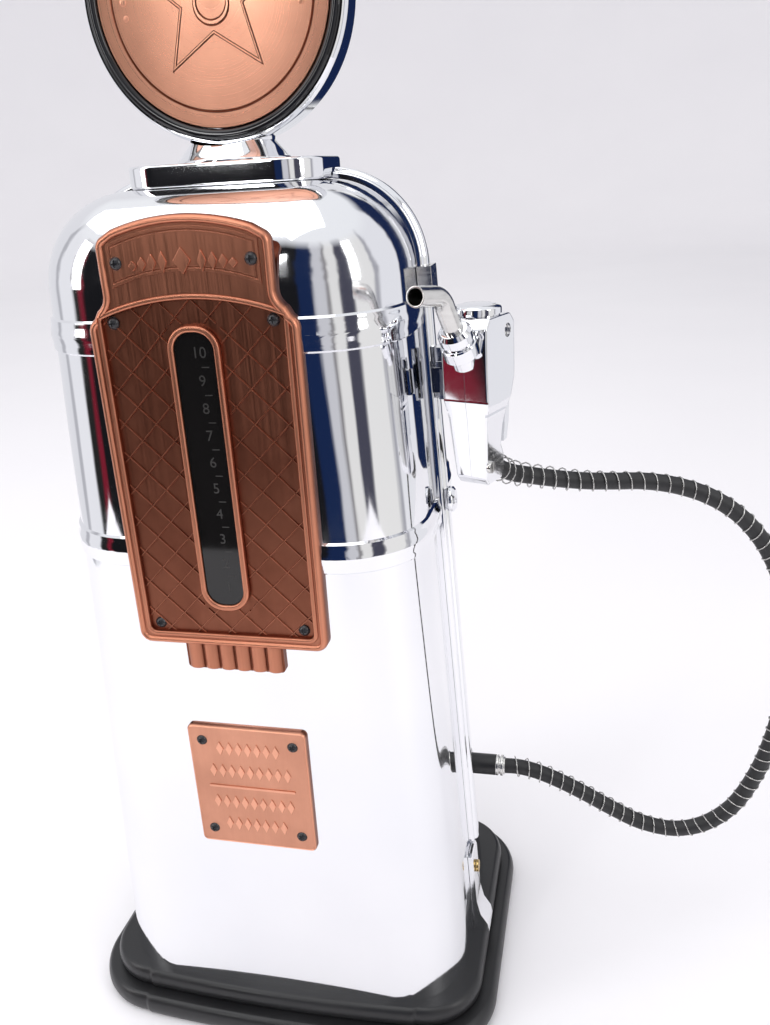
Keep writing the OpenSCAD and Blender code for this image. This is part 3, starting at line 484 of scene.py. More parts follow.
# %% Plastic, steel, brass, rubber and the window
def moulded(name, colour, low, high, texture):
    material, tree, shader = new_material(name)
    marks = use_group(tree, HANDLING, Low=low, High=high, Scale=30.0)
    tree.links.new(marks.outputs["Roughness"], shader.inputs["Roughness"])
    paler = tuple(c * 1.7 + 0.006 for c in colour)
    tree.links.new(mix_colour(tree, marks.outputs["Wave"], colour, paler), shader.inputs["Base Color"])
    grain = noise(tree, stretched(tree, (1, 1, 1)), 2400, 3)
    bump(tree, shader, grain, texture, 0.06 * MM)
    return material


def turned_metal(name, dark, bright, low, high):
    material, tree, shader = new_material(name, Metallic=1.0)
    grain = use_group(tree, GRAIN, Along=900.0, Across=160.0).outputs["Grain"]
    tree.links.new(mix_colour(tree, grain, dark, bright), shader.inputs["Base Color"])
    tree.links.new(remap(tree, grain, 0.3, 0.7, low, high), shader.inputs["Roughness"])
    bump(tree, shader, grain, 0.12, 0.04 * MM)
    return material


SATIN_BLACK = moulded("satin_black_plastic", (0.006, 0.006, 0.007), 0.30, 0.44, 0.25)
GLOSS_BLACK = moulded("gloss_black", (0.004, 0.004, 0.005), 0.03, 0.08, 0.02)
BLACK_SCREW = moulded("black_screw", (0.010, 0.010, 0.012), 0.16, 0.30, 0.10)
RUBBER = moulded("black_rubber", (0.010, 0.010, 0.011), 0.42, 0.60, 0.5)
WHITE_PLASTIC = moulded("white_plastic", (0.50, 0.50, 0.48), 0.25, 0.40, 0.05)
STEEL = turned_metal("turned_steel", (0.55, 0.54, 0.52), (0.80, 0.79, 0.77), 0.14, 0.26)
WIRE = turned_metal("wire_steel", (0.42, 0.41, 0.40), (0.66, 0.65, 0.63), 0.20, 0.32)
BRASS = turned_metal("plain_brass", (0.50, 0.33, 0.12), (0.80, 0.60, 0.28), 0.20, 0.34)


def see_through(name, transmission, low, high, scale, dark, bright):
    material, tree, shader = new_material(name, IOR=1.49)
    shader.inputs["Transmission Weight"].default_value = transmission
    marks = use_group(tree, HANDLING, Low=low, High=high, Scale=scale)
    tree.links.new(marks.outputs["Roughness"], shader.inputs["Roughness"])
    tree.links.new(mix_colour(tree, marks.outputs["Wave"], dark, bright), shader.inputs["Base Color"])
    return material


WINDOW = see_through("smoked_window", 0.08, 0.02, 0.07, 40.0, (0.004, 0.004, 0.004), (0.010, 0.009, 0.009))
CLEAR = see_through("clear_plastic", 0.9, 0.06, 0.18, 20.0, (0.78, 0.82, 0.84), (0.92, 0.94, 0.95))
SCALE_INK = moulded("scale_ink", (0.020, 0.019, 0.018), 0.30, 0.45, 0.02)


def set_relief(piece, low_y, high_y, centre=None):
    """Stores how far each vertex stands forward, from 0 at low_y to 1 at high_y, and its radius on a disc."""
    relief = piece.data.attributes.new("relief", "FLOAT", "POINT")
    relief.data.foreach_set("value", [
        min(max((low_y - v.co.y) / (low_y - high_y), 0.0), 1.0) for v in piece.data.vertices])
    if centre:
        radius = piece.data.attributes.new("radius", "FLOAT", "POINT")
        radius.data.foreach_set("value", [
            math.hypot(v.co.x - centre[0], v.co.z - centre[1]) for v in piece.data.vertices])
    return piece

# %% [markdown]
# ## The hose and its wire
#
# The rubber hose runs from the grip to the port low on the body, in one open loop that its own stiffness
# holds, and a thin steel wire is wound round it. The points are those of the frame's route. A smooth curve
# passes through them, and its rings are swept into a mesh.

# %% Route of the hose
HOSE_DIAMETER = 6.5 * MM
HOSE_POINTS = [Vector(p) * MM for p in (
    (89.9, -19.8, 240.2), (91.2, -16.2, 237.9), (93.5, -12.3, 235.3), (97.2, -8.7, 233),
    (102, -5.6, 231.3), (108, -2.8, 229.6), (115, 0, 228), (123, 2.8, 226.6), (133, 6, 225.6),
    (144, 9, 224.8), (156, 11.3, 222.4), (168, 12.5, 218), (179, 13.5, 210.6), (188.3, 14.4, 200),
    (195.3, 15, 187), (199.8, 15, 172), (202.2, 15, 156), (202.7, 15, 140), (201.8, 15, 125),
    (199.3, 15, 109), (194.5, 14.7, 92), (186.5, 14, 76), (175.5, 13, 66.3), (163, 12, 62.8),
    (149, 11, 65.5), (137, 10, 71.8), (125, 9.2, 79), (114, 8.6, 85), (104, 8.2, 89.2), (96, 8, 91),
    (90, 8, 91))]


def smooth_route(points, steps):
    """A Catmull-Rom curve through the points, with even steps between neighbours."""
    ends = [2 * points[0] - points[1], *points, 2 * points[-1] - points[-2]]
    route = []
    for a, b, c, d in zip(ends, ends[1:], ends[2:], ends[3:]):
        for i in range(steps):
            t = i / steps
            route.append(0.5 * (2 * b + t * (c - a) + t * t * (2 * a - 5 * b + 4 * c - d)
                                + t * t * t * (3 * b - a - 3 * c + d)))
    return route + [points[-1]]


def sweep(name, route, radius, sides, capped=True):
    """A tube along a route: a poly curve with a round bevel, made a mesh."""
    curve = bpy.data.curves.new(name, "CURVE")
    curve.dimensions = "3D"
    curve.bevel_depth = radius
    curve.bevel_resolution = sides // 4 - 1
    curve.use_fill_caps = capped
    curve.twist_mode = "MINIMUM"
    line = curve.splines.new("POLY")
    line.points.add(len(route) - 1)
    for point, place_at in zip(line.points, route):
        point.co = (*place_at, 1)
    piece = bpy.data.objects.new(name, curve)
    bpy.context.scene.collection.objects.link(piece)
    only(piece)
    bpy.ops.object.convert(target="MESH")
    outward(bpy.context.object)
    return bpy.context.object


hose_route = smooth_route(HOSE_POINTS, 4)

# %% The hose
hose = sweep("hose_rubber", hose_route, HOSE_DIAMETER / 2, 20)
hose.data.materials.append(RUBBER)
only(hose)
bpy.ops.object.shade_smooth_by_angle(angle=math.radians(50))
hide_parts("hose")

# %% [markdown]
# The wire is a helix round that route. It lies on the rubber along most of the hose and stands off it near
# both ends, where the turns have slid together and opened.

# %% The wire round the hose
WIRE_RADIUS = 0.28 * MM
WIRE_PITCH = 5.0 * MM
WIRE_STEPS = 14


def along(route):
    """Arc lengths at the points of a route."""
    lengths = [0.0]
    for a, b in zip(route, route[1:]):
        lengths.append(lengths[-1] + (b - a).length)
    return lengths


def wire_route():
    lengths = along(hose_route)
    total = lengths[-1]
    count = int((total - 8 * MM) / WIRE_PITCH * WIRE_STEPS)
    points, segment, across = [], 0, Vector((0, 0, 1))
    for i in range(count + 1):
        s = 4 * MM + (total - 8 * MM) * i / count
        while lengths[segment + 1] < s:
            segment += 1
        a, b = hose_route[segment], hose_route[segment + 1]
        here = a.lerp(b, (s - lengths[segment]) / (b - a).length)
        before, after = hose_route[max(segment - 1, 0)], hose_route[min(segment + 2, len(hose_route) - 1)]
        ahead = (b - a).normalized() * 0.6 + (after - before).normalized() * 0.4
        ahead.normalize()
        across = (across - across.dot(ahead) * ahead).normalized()
        loose = max(0.0, 1 - (s - 4 * MM) / (60 * MM)) + max(0.0, 1 - (total - s) / (90 * MM)) * 0.6
        radius = HOSE_DIAMETER / 2 + WIRE_RADIUS * 0.9 + loose * 1.3 * MM
        turn = 2 * math.pi * i / WIRE_STEPS
        points.append(here + radius * (math.cos(turn) * across + math.sin(turn) * ahead.cross(across)))
    return points


hose_wire = sweep("hose_wire", wire_route(), WIRE_RADIUS, 8)
hose_wire.data.materials.append(WIRE)
only(hose_wire)
bpy.ops.object.shade_smooth()

# %% [markdown]
# When the nozzle is lifted off its cradle the upper end of the hose goes with it and the lower end stays at
# the port. Here both pieces only have their place baked into their meshes.

# %% Baking the hose's place into its meshes
for piece in (hose, hose_wire):
    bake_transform(piece)

# %% [markdown]
# ## Studio
#
# Chrome shows nothing but what stands round it, so its look comes from the studio. The floor is pale and
# ends a little in front of the object. For reflections only, the sky has a dark room in front, a few dark
# and warm upright panels at the sides, and white elsewhere. The camera itself sees the floor, which turns
# up into a pale bowl.

# %% Floor
FLOOR, floor_tree, floor_shader = new_material("studio_floor", Roughness=0.6)
drift = noise(floor_tree, stretched(floor_tree, (1, 1, 1)), 3, 2)
floor_tree.links.new(mix_colour(floor_tree, drift, (0.85, 0.84, 0.865), (0.89, 0.88, 0.90)),
                     floor_shader.inputs["Base Color"])

# %% Table top
# Its near edge shows in the chrome, with the dark of the room below it.
TABLE_LOW, TABLE_HIGH = Vector((-0.62, -0.56, 0)), Vector((0.66, 0.75, 0))
bpy.ops.mesh.primitive_grid_add(x_subdivisions=8, y_subdivisions=40, size=1, location=(0, 0, 0))
table = bpy.context.object
table.name = "studio_table"
span = TABLE_HIGH - TABLE_LOW
place(table, Matrix.Translation((TABLE_LOW + TABLE_HIGH) / 2) @ Matrix.Diagonal((span.x, span.y, 1, 1)))
table.data.materials.append(FLOOR)

# %% Bowl round the floor
# The wide floor turns up all round into a bowl, so there is no horizon. Only the camera sees it.
BOWL_FLAT, BOWL_R = 3.2, 1.6
BOWL_GAP = 0.2 * MM       # the bowl lies just under the table top
bowl_line = arc((BOWL_FLAT, BOWL_R), BOWL_R, -90, -5, 24)
bpy.ops.mesh.primitive_circle_add(vertices=96, radius=BOWL_FLAT, fill_type="NGON", location=(0, 0, 0))
bowl = bpy.context.object
bowl.name = "studio_bowl"
edit(bowl)
choose(bowl, "EDGE", lambda e: e.is_boundary)
for (r0, z0), (r1, z1) in zip(bowl_line, bowl_line[1:]):
    bpy.ops.mesh.extrude_edges_move(TRANSFORM_OT_translate={"value": (0, 0, z1 - z0)})
    bpy.ops.transform.resize(value=(r1 / r0, r1 / r0, 1), center_override=(0, 0, 0))
leave()
place(bowl, Matrix.Translation((0, 0, -BOWL_GAP)))
bpy.ops.object.shade_smooth()
bowl.data.materials.append(FLOOR)
bowl.visible_glossy = False

# %% Sky for the reflections
# Bearings in degrees from straight ahead of the front, + towards +X, each with the colour that starts there
PANELS = ((-180, (0.80, 0.80, 0.84)), (-100, (0.50, 0.50, 0.54)), (-92, (0.88, 0.88, 0.92)),
          (-64, (0.02, 0.02, 0.02)), (-54, (0.20, 0.015, 0.03)), (-47, (0.01, 0.01, 0.012)),
          (-8, (0.010, 0.022, 0.075)), (13, (0.62, 0.62, 0.66)), (27, (0.26, 0.25, 0.26)),
          (32, (0.82, 0.81, 0.80)), (46, (0.07, 0.07, 0.10)), (62, (0.86, 0.85, 0.84)),
          (96, (0.42, 0.42, 0.46)), (103, (0.86, 0.86, 0.90)), (150, (0.010, 0.020, 0.07)))
PANEL_EDGE = 4.0          # degrees over which one panel fades into the next
PANEL_HIGH, HIGH_FADE = 0.60, 0.14   # sine of the elevation at which the panels end, and over which they fade
PANEL_WAVER = 0.22        # radians, for the whole span of the noise

world = bpy.data.worlds.new("studio_sky")
bpy.context.scene.world = world
world.use_nodes = True
sky = world.node_tree
sky_shader = sky.nodes["Background"]
coordinates = sky.nodes.new("ShaderNodeTexCoord")
axes = sky.nodes.new("ShaderNodeSeparateXYZ")
sky.links.new(coordinates.outputs["Generated"], axes.inputs[0])
bearing = calculate(sky, "ARCTAN2", axes.outputs["X"], calculate(sky, "MULTIPLY", axes.outputs["Y"], -1.0))
# the panels aren't quite straight, as things in a room aren't
waver = calculate(sky, "SUBTRACT", noise(sky, coordinates.outputs["Generated"], 5.0, 3), 0.5)
bearing = calculate(sky, "ADD", bearing, calculate(sky, "MULTIPLY", waver, PANEL_WAVER))
ramp = sky.nodes.new("ShaderNodeValToRGB")
sky.links.new(remap(sky, bearing, -math.pi, math.pi), ramp.inputs["Fac"])
for i, (start, colour) in enumerate(PANELS):
    begins = (start + 180) / 360
    ends = (PANELS[i + 1][0] + 180) / 360 if i + 1 < len(PANELS) else 1.0
    for at in (begins, ends - PANEL_EDGE / 360):
        stop = ramp.color_ramp.elements.new(at)
        stop.color = (*colour, 1)
high_edge = remap(sky, axes.outputs["Z"], PANEL_HIGH + HIGH_FADE, PANEL_HIGH)
panels = sky.nodes.new("ShaderNodeMix")
panels.data_type = "RGBA"
panels.inputs["A"].default_value = (0.93, 0.94, 0.97, 1)
sky.links.new(ramp.outputs["Color"], panels.inputs["B"])
sky.links.new(high_edge, panels.inputs["Factor"])
seen = sky.nodes.new("ShaderNodeMix")
seen.data_type = "RGBA"
seen.inputs["B"].default_value = (0.93, 0.92, 0.94, 1)
sky.links.new(panels.outputs["Result"], seen.inputs["A"])
path = sky.nodes.new("ShaderNodeLightPath")
sky.links.new(calculate(sky, "SUBTRACT", 1.0, path.outputs["Is Glossy Ray"]), seen.inputs["Factor"])
sky.links.new(seen.outputs["Result"], sky_shader.inputs["Color"])
sky_shader.inputs["Strength"].default_value = 1.0

# %% Lamps
def lamp(name, size, power, at, towards):
    data = bpy.data.lights.new(name, "AREA")
    data.shape = "RECTANGLE"
    data.size, data.size_y = size
    data.energy = power
    piece = bpy.data.objects.new(name, data)
    piece.location = at
    piece.rotation_euler = (Vector(towards) - Vector(at)).to_track_quat("-Z", "Y").to_euler()
    bpy.context.scene.collection.objects.link(piece)


lamp("overhead_softbox", (1.6, 1.2), 7, (-0.3, -0.2, 1.7), (0, 0, 0.1))
lamp("left_strip", (0.35, 1.1), 4.5, (-1.1, -0.7, 0.8), (0, 0, 0.25))
lamp("front_strip", (0.10, 0.45), 1.2, (-0.36, -0.95, 0.63), (0, 0, 0.42))
lamp("right_strip", (0.25, 0.9), 3, (1.1, -0.5, 0.75), (0, 0, 0.25))
bpy.context.scene.view_settings.view_transform = "Standard"
bpy.context.scene.view_settings.look = "None"

# %% [markdown]
# ## Body shells
#
# The body is moulded in two deep shells that meet at a seam under the arch bead. Each starts as a cube, the
# top is drawn in to give the tapering sides, and the standing and upper edges get a broad round. The belt
# ribs are raised by cutting level rings round the shell and pushing the middle ones outwards. Then the
# other half is cut away and the wall gets its thickness inwards.

# %% Sizes of the body
BASE_H, BODY_TOP = 18 * MM, 339 * MM
BODY_W, BODY_TOP_W, BODY_D = 155 * MM, 123 * MM, 118 * MM
CORNER_R, SHELL_T, REAR_INSET = 30 * MM, 2.4 * MM, 2.2 * MM
SEAM_Y, LID_Y = -5 * MM, -8 * MM
FRONT_Y = -BODY_D / 2
TAPER = (BODY_W - BODY_TOP_W) / 2 / (BODY_TOP - BASE_H)
RIBS = (218 * MM, 294 * MM)
FILLER_R = 16.2 * MM      # hole in the top for the filler neck
RIB_END = 33 * MM         # the ribs stop behind the edge of the copper bezel
# rings round a rib: mm from its middle, mm out
RIB_RINGS = ((5.8, 0.0), (5.1, 0.85), (4.4, 1.05), (3.1, 1.05), (2.5, 1.7), (1.5, 2.0))


def half_width(z):
    return BODY_W / 2 - TAPER * (z - BASE_H)


# %% Modelling a shell
def body_block(inset):
    bpy.ops.mesh.primitive_cube_add(size=1, location=(0, 0, (BASE_H + BODY_TOP) / 2))
    piece = bpy.context.object
    piece.scale = (BODY_W - 2 * inset, BODY_D - 2 * inset, BODY_TOP - BASE_H)
    bpy.ops.object.transform_apply(location=True, scale=True)
    edit(piece)
    choose(piece, "VERT", lambda v: v.co.z > BODY_TOP - MM)
    bpy.ops.transform.resize(value=((BODY_TOP_W - 2 * inset) / (BODY_W - 2 * inset), 1, 1))
    if inset:
        bpy.ops.transform.translate(value=(0, 0, -inset))
    choose(piece, "EDGE", lambda e: max(v.co.z for v in e.verts) > BODY_TOP - inset - MM)
    bpy.ops.mesh.bevel(offset=CORNER_R, segments=14, affect="EDGES", clamp_overlap=False)
    leave()
    return piece


def add_ribs(piece):
    edit(piece)
    for middle in RIBS:
        for away, _ in RIB_RINGS:
            for side_of in (-1, 1):
                bpy.ops.mesh.select_all(action="SELECT")
                bpy.ops.mesh.bisect(plane_co=(0, 0, middle + side_of * away * MM), plane_no=(0, 0, 1))
        for across in (-RIB_END, RIB_END, -RIB_END - 1.2 * MM, RIB_END + 1.2 * MM):
            choose(piece, "FACE", lambda f: f.normal.y < -0.9
                   and abs(f.calc_center_median().z - middle) < 6 * MM)
            bpy.ops.mesh.bisect(plane_co=(across, 0, 0), plane_no=(1, 0, 0))
        for away, out in RIB_RINGS:
            if out:
                choose(piece, "VERT", lambda v: abs(abs(v.co.z - middle) - away * MM) < 1e-5
                       and not (abs(v.co.x) < RIB_END + 0.1 * MM and v.co.y < FRONT_Y + 5 * MM))
                bpy.ops.transform.shrink_fatten(value=out * MM)
    leave()


def outward_open(piece):
    """Turns the faces of an open shell away from the middle of the body."""
    outward(piece)
    face = max(piece.data.polygons, key=lambda f: f.area)
    if face.normal.dot(face.center - Vector((0, SEAM_Y, (BASE_H + BODY_TOP) / 2))) < 0:
        edit(piece)
        bpy.ops.mesh.flip_normals()
        leave()


def shell(front):
    inset = 0 if front else REAR_INSET
    piece = body_block(inset)
    add_ribs(piece)
    edit(piece)
    bpy.ops.mesh.select_all(action="SELECT")
    bpy.ops.mesh.bisect(plane_co=(0, SEAM_Y, 0), plane_no=(0, 1, 0), clear_outer=front, clear_inner=not front)
    choose(piece, "FACE", lambda f: f.normal.z < -0.9 and f.calc_center_median().z < BASE_H + MM)
    bpy.ops.mesh.delete(type="FACE")
    leave()
    outward_open(piece)
    modify(piece, "SOLIDIFY", thickness=SHELL_T, offset=-1, use_even_offset=True)
    bpy.ops.mesh.primitive_cylinder_add(vertices=64, radius=FILLER_R, depth=20 * MM,
                                        location=(0, LID_Y, BODY_TOP))
    cut(piece, bpy.context.object)
    return piece


# %% [markdown]
# The front shell also has the slot behind the sight window, which lets the drink be seen.

# %% Front and rear shell
front_shell = shell(front=True)
WINDOW_Z, SLOT_W, SLOT_H, SLOT_R = 248 * MM, 12 * MM, 93 * MM, 5.9 * MM
slot_line = [(x, z + WINDOW_Z) for x, z in rounded_box(SLOT_W, SLOT_H, SLOT_R)]
slot_cutter = outline_piece(slot_line, 10 * MM, FRONT_Y + 6 * MM)
cut(front_shell, slot_cutter)
finish(front_shell, "chrome_front_shell", "root", "chrome", CHROME, "front_shell", angle=40)
rear_shell = shell(front=False)
finish(rear_shell, "chrome_rear_shell", "root", "chrome", CHROME, "rear_shell", angle=40)
print("shell faces:", len(front_shell.data.polygons), len(rear_shell.data.polygons))

# %% [markdown]
# ## Base
#
# The base is a hollow moulding with two tiers, each with a half-round edge. The front of each tier bows out
# a little and returns to the straight through a small step near each corner. Each tier is drawn as one
# outline; copies of it, shrunk along the edge's half circle, are stacked and bridged, so the round runs
# evenly round every corner.

# %% Outline of a tier
BASE_W, BASE_D, BASE_R = 180 * MM, 136 * MM, 30 * MM
BOW_HALF, BOW, BOW_STEP = 56 * MM, 3 * MM, 1 * MM
TIER_H, TIER_STEP, CORNER_STEPS = 9.5 * MM, 6 * MM, 16
STEP_LINE = ((1.035, 0.93), (1.05, 0.5), (1.065, 0.07))   # shares of the bow's half width, and of its step


def base_outline(inset):
    """Loop of points in X and Y, a fixed number of them whatever the inset."""
    width, depth, radius = BASE_W - 2 * inset, BASE_D - 2 * inset, BASE_R - inset
    points = rounded_box(width, depth, radius, CORNER_STEPS)
    corner = CORNER_STEPS + 1     # points of the last corner, the front right one
    front = -depth / 2
    shares = [-1 + i / 20 for i in range(41)]
    bowed = [(t * BOW_HALF, front - BOW_STEP - (BOW - BOW_STEP) * (1 - t * t)) for t in shares]
    left_step = [(-BOW_HALF * s, front - BOW_STEP * k) for s, k in reversed(STEP_LINE)]
    right_step = [(BOW_HALF * s, front - BOW_STEP * k) for s, k in STEP_LINE]
    return points[:-corner] + left_step + bowed + right_step + points[-corner:]


def base_tier(low, high, inset):
    """Stacks outlines that follow a half-round edge and bridges neighbours."""
    levels, round_r = 10, 2.8 * MM
    middle = (low + high) / 2
    angles = [math.pi * (i / levels - 0.5) for i in range(levels + 1)]
    loops = [(inset + round_r * (1 - math.cos(a)), middle + (high - low) / 2 * math.sin(a)) for a in angles]
    piece = joined([loop_of([(x, y, z) for x, y in base_outline(shrink)]) for shrink, z in loops])
    edit(piece)
    bpy.ops.mesh.bridge_edge_loops()
    leave()
    for level in (low, high):
        fill_open(piece, lambda e: all(abs(v.co.z - level) < 1e-5 for v in e.verts))
    outward(piece)
    return piece


# %% Base plinth
BASE_WALL, HOLLOW_H, HOLLOW_Z = 22 * MM, 17 * MM, 7 * MM
HOLLOW_ROUND = 0.1        # wider than the piece, so that the round is as broad as fits

lower_tier = base_tier(0.0, TIER_H, 0.0)
cut(lower_tier, base_tier(TIER_H - 0.6 * MM, BASE_H, TIER_STEP), "UNION")
bpy.ops.mesh.primitive_cube_add(size=1, location=(0, 0, HOLLOW_Z))
hollow = bpy.context.object
hollow.scale = (BASE_W - 2 * BASE_WALL, BASE_D - 2 * BASE_WALL, HOLLOW_H)
ease(hollow, HOLLOW_ROUND, 6)
cut(lower_tier, hollow)
finish(lower_tier, "black_base", "root", "black_plastic", SATIN_BLACK, "base_plinth", angle=50)

# %% [markdown]
# ## Globe and lid
#
# The globe is a shallow drum in two halves with a rounded shoulder, a dark ring and a copper disc on each
# face. It stands on a flared stem and an oblong plate. All of these but the plate are round, so each is a
# profile that is spun.

# %% Drum halves, rings and stem
GLOBE_R, LIP_R, LEDGE_Y, LEDGE_T = 46 * MM, 44.7 * MM, 3.9 * MM, 1.4 * MM
DRUM_T, SHOULDER_ROUND, SHOULDER_Y = 2.4 * MM, 4.5 * MM, 4.0 * MM
RING_GAP, RING_TOP, SEATED = 0.2 * MM, 8.2 * MM, 0.05 * MM
DISC_R, DISC_Y, DISC_T = 40.4 * MM, 5.3 * MM, 1.8 * MM
PLATE_Z, PLATE_T = BODY_TOP, 7.5 * MM
GLOBE_Z = 397.5 * MM


def facing(front):
    """Turns a piece spun round Z so that +Z becomes the front (-Y) or the rear, at the globe's middle."""
    turn = Matrix.Rotation(math.radians(90 if front else -90), 4, "X")
    return Matrix.Translation((0, LID_Y, GLOBE_Z)) @ turn


def drum_half():
    """Wall of the drum, with a rounded shoulder and a ledge inside where the ring and the disc sit."""
    shoulder = arc((GLOBE_R - SHOULDER_ROUND, SHOULDER_Y), SHOULDER_ROUND, 0, 45, 10)
    middle = 0.02 * MM        # a hair's breadth between the halves
    return turned([(GLOBE_R - DRUM_T, middle), (GLOBE_R, middle), *shoulder, (LIP_R, shoulder[-1][1]),
                   (LIP_R, LEDGE_Y), (LIP_R - 4 * MM, LEDGE_Y), (LIP_R - 4 * MM, LEDGE_Y - LEDGE_T),
                   (LIP_R - 1.6 * MM, LEDGE_Y - LEDGE_T)], 128)


def dark_ring():
    """Glossy ring that fills the gap between the disc and the drum, with a rounded top."""
    inner, outer = DISC_R + RING_GAP, LIP_R - 0.3 * MM
    half = (outer - inner) / 2
    top = arc(((inner + outer) / 2, RING_TOP - half), half, 0, 180, 12)
    return turned([(outer, LEDGE_Y + SEATED), *top, (inner, LEDGE_Y + SEATED)], 128)


for front, label in ((True, "front"), (False, "rear")):
    drum = place(drum_half(), facing(front))
    finish(drum, f"chrome_globe_{label}", "lid", "chrome", CHROME, f"globe_{label}", angle=50)
    ring = place(dark_ring(), facing(front))
    finish(ring, f"dark_ring_{label}", "lid", "gloss_black", GLOSS_BLACK, f"{label}_ring", angle=50)

# %% Stem
STEM_FOOT_R, STEM_FOOT_T, WAIST_R, STEM_BORE = 20 * MM, 0.9 * MM, 14.8 * MM, 0.4 * MM
FLARE_W, FLARE_H, STEM_TOP = 4.6 * MM, 5.4 * MM, 10.6 * MM
flare = [math.radians(a) for a in range(6, 91, 12)]
stem_profile = [(STEM_BORE, 0), (STEM_FOOT_R, 0), (STEM_FOOT_R, 0.5 * MM),
                (STEM_FOOT_R - 0.4 * MM, STEM_FOOT_T)]
stem_profile += [(WAIST_R + FLARE_W * (1 - math.sin(a)), STEM_FOOT_T + FLARE_H * math.sin(a)) for a in flare]
stem_profile += [(WAIST_R + 0.1 * MM, 8.0 * MM), (WAIST_R + 0.8 * MM, STEM_TOP), (STEM_BORE, STEM_TOP)]
stem = place(turned(stem_profile), Matrix.Translation((0, LID_Y, PLATE_Z + PLATE_T)))
# the top of the stem is hollowed to the drum that it carries
bpy.ops.mesh.primitive_cylinder_add(vertices=160, radius=GLOBE_R + 0.02 * MM, depth=60 * MM,
                                    location=(0, LID_Y, GLOBE_Z), rotation=(math.pi / 2, 0, 0))
cut(stem, bpy.context.object)
finish(stem, "chrome_stem", "lid", "chrome", CHROME, "globe_stem", angle=50)

# %% Plate of the lid
PLATE_W, PLATE_D, PLATE_R = 70 * MM, 46 * MM, 14 * MM
plate = outline_piece(rounded_box(PLATE_W, PLATE_D, PLATE_R, 14), PLATE_T)
place(plate, Matrix.Translation((0, LID_Y, PLATE_Z)) @ Matrix.Rotation(math.radians(-90), 4, "X"))
outward(plate)
ease(plate, 1.1 * MM, 4, 40)
finish(plate, "chrome_top_plate", "lid", "chrome", CHROME, "top_plate", angle=40)
print("plate size in mm:", [round(v / MM, 1) for v in plate.dimensions])

# %% [markdown]
# ## Globe discs
#
# Each disc is pressed copper: a round groove near the edge, a five-pointed star drawn as a raised band
# between two grooves, small dots at the sides and an emblem in the middle. The emblem here is a plain drop.
# The circular brushing comes from the finish, and the grooves and bands are real relief.

# %% Outline shapes of the discs
STAR_GROOVE = ((27.7, 11.9), (24.6, 10.6))                # mm, outer and inner: radii of points and notches
STAR_BAND = ((26.9, 11.55), (25.4, 10.9))
DROP_GROOVE, DROP_BAND = (10.4, 8.0), (9.8, 8.6)          # mm, outer and inner size
RIM_GROOVE = ((35.6, 0), (35.4, -0.3), (34.9, -0.3), (34.7, 0))     # mm, radius and height
GROOVE_DEEP, BAND_T, DOTS_R = 0.35 * MM, 0.55 * MM, 31 * MM


def star_points(radii):
    turns = [(radii[i % 2] * MM, math.radians(90 + 36 * i)) for i in range(10)]
    return [(r * math.cos(a), r * math.sin(a)) for r, a in turns]


def drop_points(size_mm):
    """A drop: a round below, and two straight sides that meet above."""
    size = size_mm * MM
    return arc((0, -0.3 * size), 0.62 * size, -222, 42, 28) + [(0, size)]


def band(outer, inner, depth, y):
    """Raised band between two outlines."""
    piece = outline_piece(outer, depth, y)
    cut(piece, outline_piece(inner, depth + 2 * MM, y + MM))
    return piece


def disc():
    """Front face at y = 0 and towards -Y, centred on the origin."""
    groove = [(radius * MM, height * MM) for radius, height in RIM_GROOVE]
    body = turned([(0.05 * MM, -DISC_T), (DISC_R, -DISC_T), (DISC_R, -0.25 * MM), (DISC_R - 0.25 * MM, 0),
                   *groove, (0.05 * MM, 0)], 128)
    place(body, Matrix.Rotation(math.radians(90), 4, "X"))
    fill_open(body)
    outward(body)
    for shape, sizes in ((star_points, STAR_GROOVE), (drop_points, DROP_GROOVE)):
        cut(body, band(shape(sizes[0]), shape(sizes[1]), MM, GROOVE_DEEP))
    raised = [band(shape(sizes[0]), shape(sizes[1]), BAND_T, 0.3 * MM)
              for shape, sizes in ((star_points, STAR_BAND), (drop_points, DROP_BAND))]
    for piece in raised:
        ease(piece, 0.16 * MM, angle=50)
    for side_of in (-1, 1):
        for degrees, radius in ((-9, 1.0), (0, 1.3), (9, 1.0)):
            angle = math.radians(degrees)
            bpy.ops.mesh.primitive_uv_sphere_add(segments=24, ring_count=12, radius=radius * MM)
            middle = (side_of * DOTS_R * math.cos(angle), 0, DOTS_R * math.sin(angle))
            flat = Matrix.Diagonal((1, 0.5, 1, 1))
            raised.append(place(bpy.context.object, Matrix.Translation(middle) @ flat))
    return joined([body, *raised])


# %% Both discs
for front, label in ((True, "front"), (False, "rear")):
    face = disc()
    set_relief(face, 0.30 * MM, -0.10 * MM, centre=(0, 0))
    turn = Matrix.Identity(4) if front else Matrix.Rotation(math.pi, 4, "Z")
    place(face, Matrix.Translation((0, LID_Y, GLOBE_Z)) @ turn @ Matrix.Translation((0, -DISC_Y - DISC_T, 0)))
    finish(face, f"copper_disc_{label}", "lid", "copper", DISC_COPPER, f"{label}_disc", angle=35)

# %% [markdown]
# ## Copper front
#
# The bezel is one casting: a rolled rim all round, a low field with the name-plate in the head, an arched
# opening for the quilted panel with a bright lip, and a fluted tab below. The rim is made with inset steps
# on the front face, because an inset follows any outline at an even width.

# %% Outline of the bezel
BEZEL_HALF, BEZEL_LOW, BEZEL_CORNER_R = 36 * MM, 183 * MM, 4.5 * MM
SHOULDER_R, SHOULDER_Z = 5 * MM, 296.5 * MM
HOLLOW_R, HOLLOW_END_Z = 6 * MM, 308.4 * MM
HEAD_HALF, HEAD_TOP, HEAD_RISE, HEAD_END = 29.25 * MM, 332 * MM, 6 * MM, 23.5 * MM
HEAD_CORNER_R, HEAD_CORNER_Z = 4 * MM, 322.6 * MM


